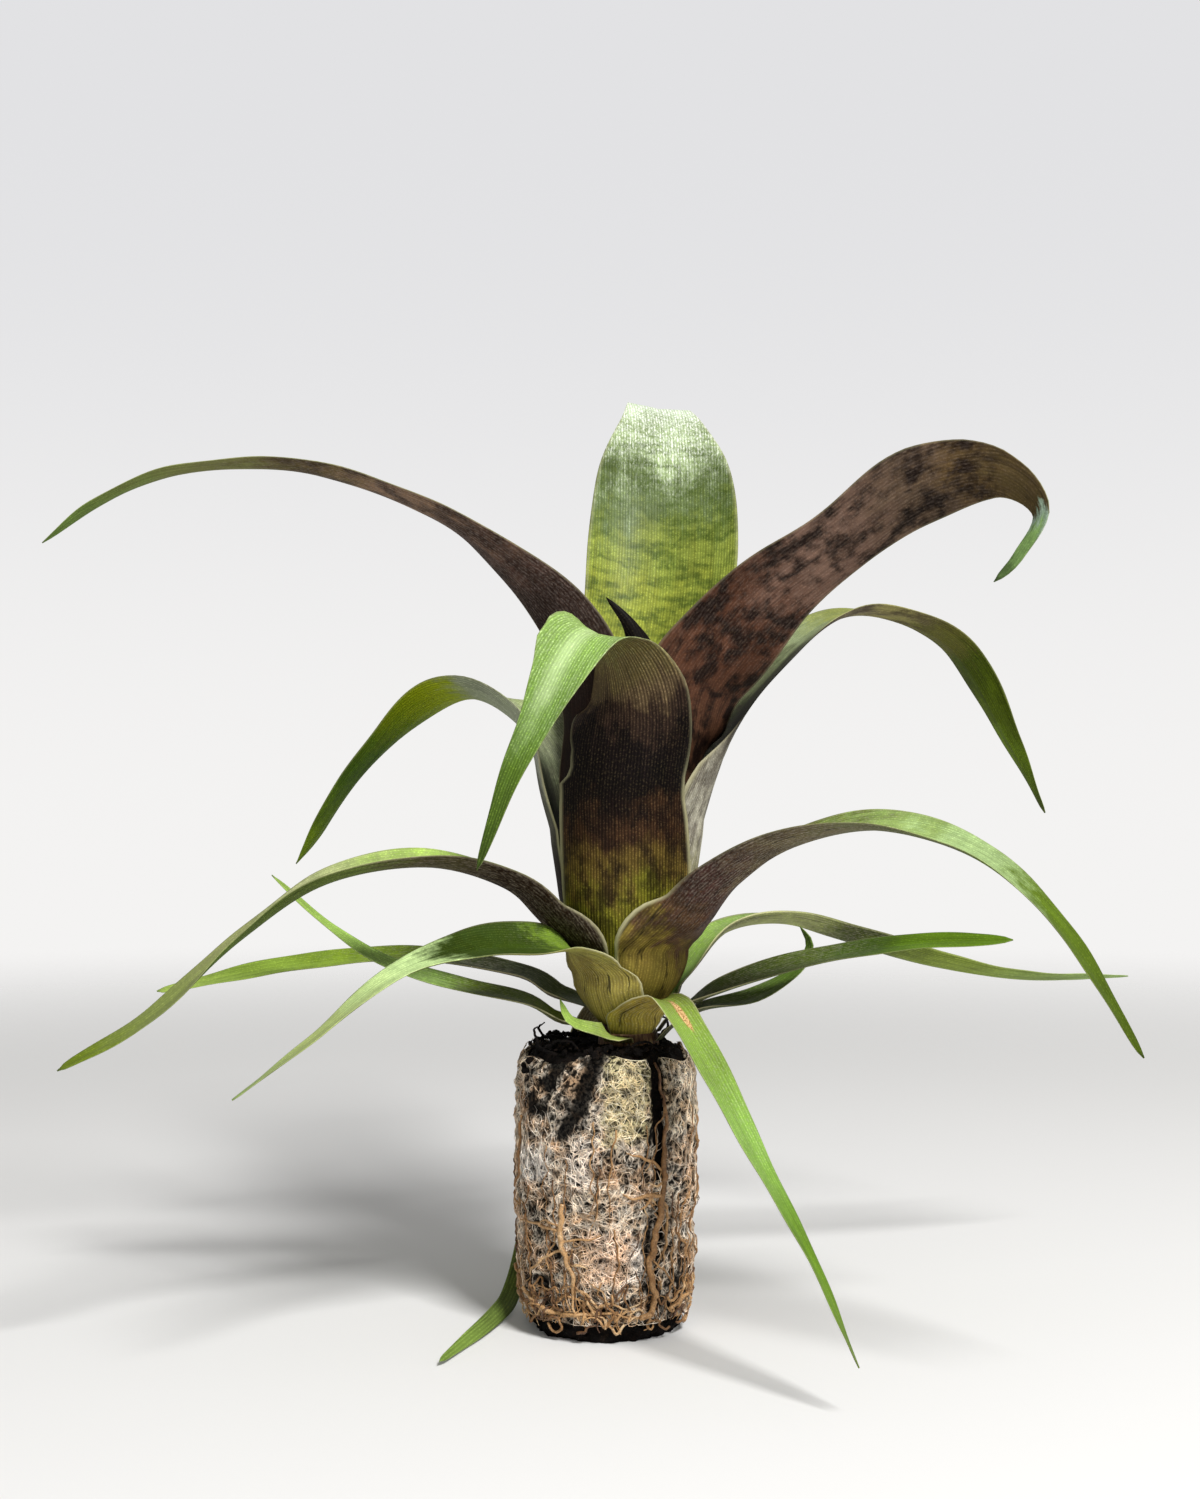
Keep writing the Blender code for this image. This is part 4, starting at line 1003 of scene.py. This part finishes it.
def buildFleeceTone():
    # the fleece's colour from its patches, its torn share and its own mottling
    tree, _ = newGroup("fleeceTone")
    spot = toObject(tree)
    colour = ramp(grain(spot, 0.16, 4.0, 0.6), ((0.3, "#b8906a"), (0.42, "#dab896"),
                                                (0.54, "#f4e6d2"), (0.68, "#deba92")))
    tones = apart(read(tree, "fleeceTone", "Vector"))
    for tone, code in zip(tones, fleece["toneColours"]):
        colour = mixColour(tone, colour, tint(code))
    return closeGroup(tree, Colour=colour, Torn=read(tree, "fleeceTorn"),
                      Speck=grain(spot, 1.5, 4.0, 0.68, 0.6))


def makeFleeceSkin(tone):
    material, tree, shader = newMaterial("fleece_felt", **{"Specular IOR Level": 0.1})
    colour, torn, speck = useGroup(tree, tone)
    spot = toObject(tree)
    level = ease(speck, 0.42, 0.58, 0.1, 1.0) * (1 - torn * 0.97)
    level *= ease(grain(spot, 0.75, 3.0, 0.6), 0.38, 0.48, 0.15, 1.0)
    height = grain(spot, 3.2, 3.0, 0.6) * 0.6 + speck
    finish(shader, shade(colour, level), ease(speck, 0.3, 0.7, 0.98, 0.82), height, 0.9, 0.5)
    return material


def makeFibreSkin(name, tone, stops):
    material, tree, shader = newMaterial(name, **{"Specular IOR Level": 0.3})
    colour, torn, _ = useGroup(tree, tone)
    strand = read(tree, "strandTone")
    spot = toObject(tree)
    colour = mixColour(0.45, colour, ramp(strand, stops))
    level = ease(grain(spot, 0.6), 0.34, 0.62, 0.75, 1.5) * (1 - torn * 0.72)
    finish(shader, shade(colour, level), ease(strand, 0.0, 1.0, 0.75, 0.5), grain(spot, 9.0),
           0.4, 0.04)
    return material


def makeRootSkin():
    material, tree, shader = newMaterial("root_bark", **{"Coat Weight": 0.04})
    spot = toObject(tree)
    patch = grain(spot, 0.55, 4.0, 0.62)
    age = read(tree, "rootAge") + (patch * 0.7 - 0.35)
    colour = ramp(age, ((0.0, "#dcbd92"), (0.25, "#bb9160"), (0.5, "#8c6439"),
                        (0.75, "#54361f"), (1.0, "#20130b")))
    flake = ease(grain(spot, 3.4, 3.0, 0.65), 0.36, 0.62, 0.62, 1.15)
    finish(shader, shade(colour, flake), ease(patch, 0.3, 0.7, 0.45, 0.75),
           grain(spot, 2.2, 4.0, 0.66), 0.8, 0.16)
    return material


def makePeatSkin():
    material, tree, shader = newMaterial("peat_crumb", **{"Specular IOR Level": 0.1})
    spot = toObject(tree)
    lump, speck = grain(spot, 0.45, 5.0, 0.62), grain(spot, 2.6, 3.0, 0.6)
    colour = ramp(lump, ((0.3, "#050403"), (0.52, "#0e0a08"), (0.7, "#20160f")))
    colour = mixColour(ease(speck, 0.66, 0.74) * 0.7, colour, tint("#5c4228"))
    finish(shader, colour, ease(speck, 0.3, 0.7, 1.0, 0.7), speck * 0.5 + lump * 1.4, 1.0, 0.7)
    return material


def makeStemSkin():
    material, tree, shader = newMaterial("stem_fibre")
    lines = grain(toObject(tree), (1.6, 1.6, 0.12), 4.0, 0.6)
    colour = ramp(lines, ((0.3, "#2c1a0e"), (0.5, "#5a3c20"), (0.66, "#7a6234")))
    finish(shader, colour, ease(lines, 0.3, 0.7, 0.85, 0.6), lines, 0.7, 0.3)
    return material


def makePeatBlock(skin):
    # up the outside, over the crumbly top, then down the well that the stem stands in
    columns = plug["blockColumns"]
    edge, brim = plug["profile"][-1]
    shoulder, wellRadius, top = plug["shoulder"], plug["socketRadius"], plug["topHeight"]
    side = [(None, height, 0.0) for height in np.linspace(0, brim, plug["blockRows"])]
    cap = [(edge - (edge - shoulder) * t, brim + (top - brim) * t, t * t)
           for t in np.linspace(0.12, 1, 9)]
    lip = [(shoulder - (shoulder - wellRadius) * t, top, 1.0) for t in (0.35, 0.7, 1)]
    well = [(wellRadius, height, 1.0) for height in (55.2, 52, 48.5, plug["socketFoot"])]
    angle = np.linspace(0, 360, columns, endpoint=False)
    rings = []
    for radius, height, offset in side + cap + lip + well:
        radius = coreRadius(height) if radius is None else radius
        ring = onPlug(np.full(columns, radius), angle, np.full(columns, height))
        rings.append(ring + np.array((trunk["x"] * offset, trunk["y"] * offset, 0)))
    rings = np.array(rings)
    lumps = rough(rings, plug["lumps"], 4)
    fray = rough(rings + 50, plug["crumble"], 3)
    ragged = 1 - smoothStep(rings[..., 2], *plug["raggedFoot"])
    outward = rings * (1, 1, 0) / np.linalg.norm(rings[..., :2], axis=-1)[..., None]
    push = (np.minimum(lumps * 0.9 + fray * 0.35, 0.22) * (1 - ragged)
            + (lumps * 1.1 + fray * 0.5 - 0.1) * ragged)
    count = len(side)
    rings[:count] += outward[:count] * push[:count, :, None]
    rings[1:6, :, 2] += 0.3 * fray[1:6]
    rings[count:-5, :, 2] += (lumps[count:-5] * 1.1 + fray[count:-5] * 0.5) * 0.8
    rings[..., 2] = np.maximum(rings[..., 2], 0)
    rings[0, :, 2] = 0
    ends = (0, 0, 0.0), (trunk["x"], trunk["y"], plug["socketFoot"])
    points = np.vstack([ends[0], rings.reshape(-1, 3), ends[1]])
    faces = []
    for k in range(columns):
        near = (k + 1) % columns
        faces.append((0, 1 + near, 1 + k))
        for row in range(len(rings) - 1):
            lower, upper = 1 + row * columns, 1 + (row + 1) * columns
            faces.append((lower + k, lower + near, upper + near, upper + k))
        last = 1 + (len(rings) - 1) * columns
        faces.append((last + k, last + near, len(points) - 1))
    settle(meshPiece("peat_block", points, faces), skin, "peat", "plug_core")


def makeCrumbs(skin, rng):
    # loose crumbs of peat on the block's top and rim: each is a cube's corners with a point
    # raised over every side
    peaks = [np.array(spot) for spot in (
        (1, 0, 0), (-1, 0, 0), (0, 1, 0), (0, -1, 0), (0, 0, 1), (0, 0, -1))]
    corners = [np.array((x, y, z)) for z in (1, -1) for y in (1, -1) for x in (1, -1)]
    cells = []
    for p, peak in enumerate(peaks):
        for a, first in enumerate(corners):
            for b, other in enumerate(corners):
                joined = np.abs(first - other).sum() == 2 and peak.dot(first + other) == 2
                if joined and np.linalg.det([peak, first, other]) > 0:
                    cells.append(np.array((p, 6 + a, 6 + b)))
    ball = np.array([spot / np.linalg.norm(spot) for spot in peaks + corners])
    count, centres, shapes = len(ball), [], []
    for _ in range(crumbs["count"]):
        size = rng.uniform(*crumbs["size"]) * rng.uniform(0.5, 1)
        turn, radius = rng.uniform(0, math.tau), math.sqrt(rng.uniform(0.35, 1))
        radius *= crumbs["spread"]
        centre = np.array((radius * math.cos(turn), radius * math.sin(turn), crumbs["height"]))
        if math.hypot(centre[0] - trunk["x"], centre[1] - trunk["y"]) < crumbs["clear"]:
            continue
        centre[2] += -0.6 * smoothStep(radius, 13.5, 16) + rng.uniform(-0.1, 0.5)
        centres.append(centre)
        shapes.append(ball * rng.uniform(0.6, 1.3, (count, 1)) * rng.uniform(0.6, 1.2, 3) * size)
    for angle, radius, height in crumbs["rim"]:
        centres.append(onPlug(radius, angle, height))
        shapes.append(ball * rng.uniform(0.7, 1.3, (count, 1)) * (0.9, 0.9, 0.7))
    points = np.vstack([centre + shape for centre, shape in zip(centres, shapes)])
    faces = [cell + count * k for k in range(len(shapes)) for cell in cells]
    piece = meshPiece("peat_crumbs", points, faces)
    piece.data.polygons.foreach_set("use_smooth", [False] * len(piece.data.polygons))
    settle(piece, skin, "peat")


def makeCurls(skin):
    strands = []
    for curl in curls:
        line = curveThrough(curl, 10)
        line += 0.25 * np.stack([rough(line + k * 9, 1.2, 2) for k in range(3)], axis=1)
        strands.append((line, np.linspace(0.34, 0.16, len(line)) + 0.08 * rough(line, 0.7, 2)))
    points, faces = tubes(strands, 6)
    settle(meshPiece("black_rootlets", points, faces), skin, "root")


def makeFleeceWrap(maps, skin):
    columns, rows = fleece["columns"], fleece["rows"]
    seamFray, topFray, footFray = fleece["frays"]
    part = np.linspace(0, 1, rows)[:, None]
    opening = plug["seamOpening"][0] * (1 - part) + plug["seamOpening"][1] * part
    share = np.linspace(0, 1, columns)[None]
    angle = plug["seamAngle"] + opening + (360 - 2 * opening) * share
    edge = np.minimum(share, 1 - share) * 360
    frayed = rough(onPlug(np.full(angle.shape, 17.0), angle, part * 50 + 90 + 0 * angle), 2.0, 3)
    angle = angle + frayed * seamFray * (1 - smoothStep(edge, 0, 7)) * np.sign(share - 0.5)
    top = rimHeight(angle) + frayed * topFray
    foot = plug["wrapFoot"] + footFray * frayed
    height = foot + (top - foot) * part
    inner = coreRadius(height) + plug["wrapGap"]
    outer = skinRadius(maps, angle, height)
    rim = smoothStep(np.minimum(part, 1 - part) * 50, 0, 1.2) * 0.5 + 0.5
    outer = inner + np.maximum(outer - inner, plug["thinnestWrap"]) * rim
    points = np.concatenate([onPlug(inner, angle, height).reshape(-1, 3),
                             onPlug(outer, angle, height).reshape(-1, 3)])
    torn, tones = readMap(maps["torn"], angle, height), readMap(maps["tones"], angle, height)
    values = {"fleeceTorn": np.tile(torn.ravel(), 2),
              "fleeceTone": np.tile(tones.reshape(-1, 3), (2, 1))}
    wrap = meshPiece("fleece_wrap", points, shellFaces(rows, columns), values)
    settle(wrap, skin, "fleece", "plug_wrap")


def makeFibres(maps, name, skin, seed):
    # loose curly fibres that lie on the fleece and stand a little off it
    rng = np.random.default_rng(seed)
    count, taper = fleece["fibres"], np.array(fleece["fibreTaper"])
    steps = len(taper)
    angle = rng.uniform(0, 360, count)
    height = rng.uniform(plug["wrapFoot"] + 0.3, plug["wrapTop"] - 0.4, count)
    heading = rng.uniform(0, math.tau, count)
    brushed = readMap(maps["tones"], angle, height)[:, 1]
    oneWay = fleece["brushing"] + rng.normal(0, 0.35, count)
    heading = heading * (1 - brushed) + oneWay * brushed
    curl = rng.normal(0, 0.5, count) * (1 - 0.8 * brushed)
    length = rng.uniform(*fleece["fibreLength"], count) / (steps - 1)
    lift = rng.uniform(0.0, 0.16, count)
    arch = rng.uniform(0.0, 0.3, count) ** 1.5
    angles, heights = [angle], [height]
    for _ in range(steps - 1):
        angles.append(angles[-1] + np.cos(heading) * length / outerDegree)
        heights.append(heights[-1] + np.sin(heading) * length)
        heading = heading + curl + rng.normal(0, 0.3, count)
    angle, height = np.array(angles).T, np.array(heights).T
    height = np.clip(height, plug["wrapFoot"] - 0.2, rimHeight(angle) + 0.2)
    # few of them cross the torn spots and the seam
    torn = readMap(maps["torn"], angle, height)
    narrow, wide = plug["seamOpening"]
    opening = narrow + (wide - narrow) * height / plug["seamHeight"]
    slit = np.abs(arcBetween(angle, plug["seamAngle"])) < opening
    dropped = np.where(height.mean(axis=1) > 38, *fleece["seamDrops"])
    keep = ((torn.mean(axis=1) < 0.24 + 0.3 * rng.random(count) ** 2)
            & ~(slit.any(axis=1) & (rng.random(count) < dropped)))
    rise = np.sin(np.linspace(0, math.pi, steps))
    radius = skinRadius(maps, angle, height) + lift[:, None] + arch[:, None] * rise
    radius = np.minimum(radius, coreRadius(height) + fleece["farthestFibre"])
    lines = onPlug(radius, angle, height)[keep]
    width = fleece["fibreRadius"] * rng.uniform(0.75, 1.3, count)[keep]
    points, faces = tubes([(line, w * taper) for line, w in zip(lines, width)], 3)
    tones = readMap(maps["tones"], angle, height)[keep].reshape(-1, 3)
    values = {"strandTone": np.repeat(rng.random(len(lines)), steps * 3),
              "fleeceTorn": np.repeat(torn[keep].ravel(), 3),
              "fleeceTone": np.repeat(tones, 3, axis=0)}
    settle(meshPiece(name, points, faces, values), skin, "fleece")


def rootLine(maps, path, radius, rng, wander, lift=0.0):
    # a wavy line over the wrap through a few angles and heights
    path = np.array(path, float)
    path[:, 0] = np.degrees(np.unwrap(np.radians(path[:, 0])))
    line = curveThrough(path, 14)
    reach = lengthsAlong(line * (outerDegree, 1))
    share = np.linspace(0, reach[-1], max(6, int(reach[-1] / rootBuild["rowLength"])))
    angle = np.interp(share, reach, line[:, 0])
    height = np.interp(share, reach, line[:, 1])
    shift = rng.uniform(0, 100, 3)
    sway = np.array([[noise.noise(Vector((s / rootBuild["swayLength"], shift[k], k)))
                      for k in range(3)] for s in share])
    fade = np.minimum(1, np.minimum(share, 2.0) / 2.0)
    angle = angle + sway[:, 0] * wander / outerDegree * 1.6 * fade
    height = np.maximum(height + sway[:, 1] * wander * fade, radius + 0.1)
    skin = skinRadius(maps, angle, np.maximum(height, plug["wrapFoot"]))
    skin = np.where(height < plug["wrapFoot"], coreRadius(height) + 0.9, skin)
    out = skin + radius * 0.75 + (sway[:, 2] * 0.5 + 0.5) * lift
    thick = radius * (1 + 0.22 * sway[:, 2] + 0.1 * sway[:, 0])
    end = 1 - 0.6 * smoothStep(share / share[-1], 0.4, 1.0)
    return onPlug(out, angle, height), thick * end


def rootPiece(name, strands, ages, skin, *nodes, sides=8):
    # strands as one piece, each with its age at its start and end
    points, faces = tubes(strands, sides)
    age = np.concatenate([np.repeat(np.linspace(a, b, len(line)), sides)
                          for (line, _), (a, b) in zip(strands, ages)])
    settle(meshPiece(name, points, faces, {"rootAge": age}), skin, "root", *nodes)


def makeThickRoots(maps, skin, rng):
    # each root with its side roots, and two hairs on every side root
    for name, root in thickRoots.items():
        strands = [rootLine(maps, root["path"], root["radius"], rng, 0.4)]
        ages = [(root["age"], root["age"] + root.get("darkens", 0))]
        for radius, path in root["sides"]:
            strands.append(rootLine(maps, path, radius, rng, 0.5))
            ages.append((root["age"], root["age"] + rng.uniform(-0.3, 0.1)))
            for _ in range(2):
                start = path[rng.integers(0, len(path) - 1)]
                hair = (start, (start[0] + rng.uniform(-5, 5), start[1] - rng.uniform(0.5, 2)),
                        (start[0] + rng.uniform(-11, 11), start[1] - rng.uniform(0, 4)))
                strands.append(rootLine(maps, hair, rootBuild["hairRadius"], rng, 0.4, 0.3))
                ages.append(rng.uniform(0, 0.5, 2))
        rootPiece(name, strands, ages, skin, root["node"])


def makeFineRoots(maps, skin, rng):
    strands = [rootLine(maps, darkRoot["path"], darkRoot["radius"], rng, 0.5)]
    ages = [darkRoot["ages"]]
    low, high = fineRoots["heights"]
    for _ in range(fineRoots["count"]):
        angle, height = rng.uniform(0, 360), low + (high - low) * rng.random() ** 1.4
        length = rng.uniform(*fineRoots["length"])
        if height - length < 3:
            height = 3.5 + length
        lean = rng.normal(0, 7)
        path = [(angle + lean * t + rng.normal(0, 2.2), height - length * t)
                for t in (0, 0.33, 0.66, 1)]
        strands.append(rootLine(maps, path, rng.uniform(*fineRoots["radius"]), rng, 0.7, 0.5))
        ages.append(rng.uniform(*fineRoots["age"], 2))
    rootPiece("fine_roots", strands, ages, skin, sides=5)


def makeRootTangle(maps, skin, rng):
    strands, ages = [], []
    for _ in range(rootTangle["count"]):
        angle, height = rng.uniform(0, 360), rng.uniform(*rootTangle["heights"])
        reach = rng.uniform(-26, 26)
        path = [(angle + reach * t, np.clip(height + rng.normal(0, 1.6), 2.2, 12))
                for t in (0, 0.3, 0.6, 1)]
        strands.append(rootLine(maps, path, rng.uniform(*rootTangle["radius"]), rng, 0.9, 0.7))
        ages.append(rng.uniform(*rootTangle["age"], 2))
    rootPiece("root_tangle", strands, ages, skin, sides=6)


def makePlug():
    rng = np.random.default_rng(11)
    maps = mapFleece()
    peat = makePeatSkin()
    makePeatBlock(peat)
    makeCrumbs(peat, rng)
    makeCurls(peat)
    tone = buildFleeceTone()
    makeFleeceWrap(maps, makeFleeceSkin(tone))
    makeFibres(maps, "pale_fibres", makeFibreSkin("pale_fibre", tone, fleece["paleFibres"]), 3)
    makeFibres(maps, "tan_fibres", makeFibreSkin("tan_fibre", tone, fleece["tanFibres"]), 5)
    bark = makeRootSkin()
    makeThickRoots(maps, bark, rng)
    makeFineRoots(maps, bark, rng)
    makeRootTangle(maps, bark, rng)
    stemSkin = makeStemSkin()
    for slot in bpy.data.objects["stem"].material_slots:
        slot.material = stemSkin
    print("plug made with", len(thickRoots), "thick roots")


# a pale floor that fades into a pale backdrop, one soft lamp, and the camera
stage = dict(
    floorColour="#e0dfdd", floorRadius=0.9, fade=(0.3, 0.85), topColour="#e2e2e4",
    lowColour="#f4f3f2", fill=0.4, lampPlace=(0.4, -0.66, 0.92), lampAim=(0, 0, 0.09),
    lampSize=0.28, lampPower=16.0, cameraPlace=(-0.0012, -0.416, 0.1145), lens=50.0)


def makeFloor():
    bpy.ops.mesh.primitive_circle_add(vertices=96, radius=stage["floorRadius"], fill_type="NGON")
    floor = bpy.context.object
    floor.name = "studio_floor"
    material, tree, shader = newMaterial("studio_paper", Roughness=0.9)
    shader.inputs["Base Color"].default_value = tint(stage["floorColour"])
    spot = wire(tree, "ShaderNodeTexCoord", None, "Object")
    faded = ease(vectorCalc("LENGTH", spot, output="Value"), *stage["fade"], 1.0, 0.0)
    tree.links.new(faded.socket, shader.inputs["Alpha"])
    floor.data.materials.append(material)


def makeBackdrop():
    # the camera sees a pale rise; everything else is lit by a plain even fill
    world = bpy.data.worlds.new("pale_room")
    bpy.context.scene.world = world
    world.use_nodes = True
    sky = world.node_tree
    rise = apart(wire(sky, "ShaderNodeTexCoord", None, "Generated"))[2]
    colour = ramp(ease(rise, -0.12, 0.35), ((0, stage["lowColour"]), (1, stage["topColour"])))
    shown = sky.nodes["Background"]
    sky.links.new(colour.socket, shown.inputs["Color"])
    glow = wire(sky, "ShaderNodeBackground", {"Color": (1, 1, 1, 1), "Strength": stage["fill"]})
    seen = wire(sky, "ShaderNodeLightPath", None, "Is Camera Ray")
    both = wire(sky, "ShaderNodeMixShader", {0: seen, 1: glow, 2: Wire(shown.outputs[0])})
    sky.links.new(both.socket, sky.nodes["World Output"].inputs["Surface"])


def setStage():
    makeFloor()
    makeBackdrop()
    scene = bpy.context.scene
    lamp = bpy.data.lights.new("soft_lamp", "AREA")
    lamp.shape, lamp.size, lamp.energy = "SQUARE", stage["lampSize"], stage["lampPower"]
    light = bpy.data.objects.new("soft_lamp", lamp)
    light.location = stage["lampPlace"]
    aim = Vector(stage["lampAim"]) - light.location
    light.rotation_euler = aim.to_track_quat("-Z", "Y").to_euler()
    camera = bpy.data.objects.new("camera", bpy.data.cameras.new("camera"))
    camera.data.lens = stage["lens"]
    camera.location = stage["cameraPlace"]
    camera.rotation_euler = (math.pi / 2, 0, 0)
    scene.collection.objects.link(light)
    scene.collection.objects.link(camera)
    scene.camera = camera
    scene.view_settings.view_transform = "Standard"
    print("stage set")


growLeaves()
makePlug()
setStage()
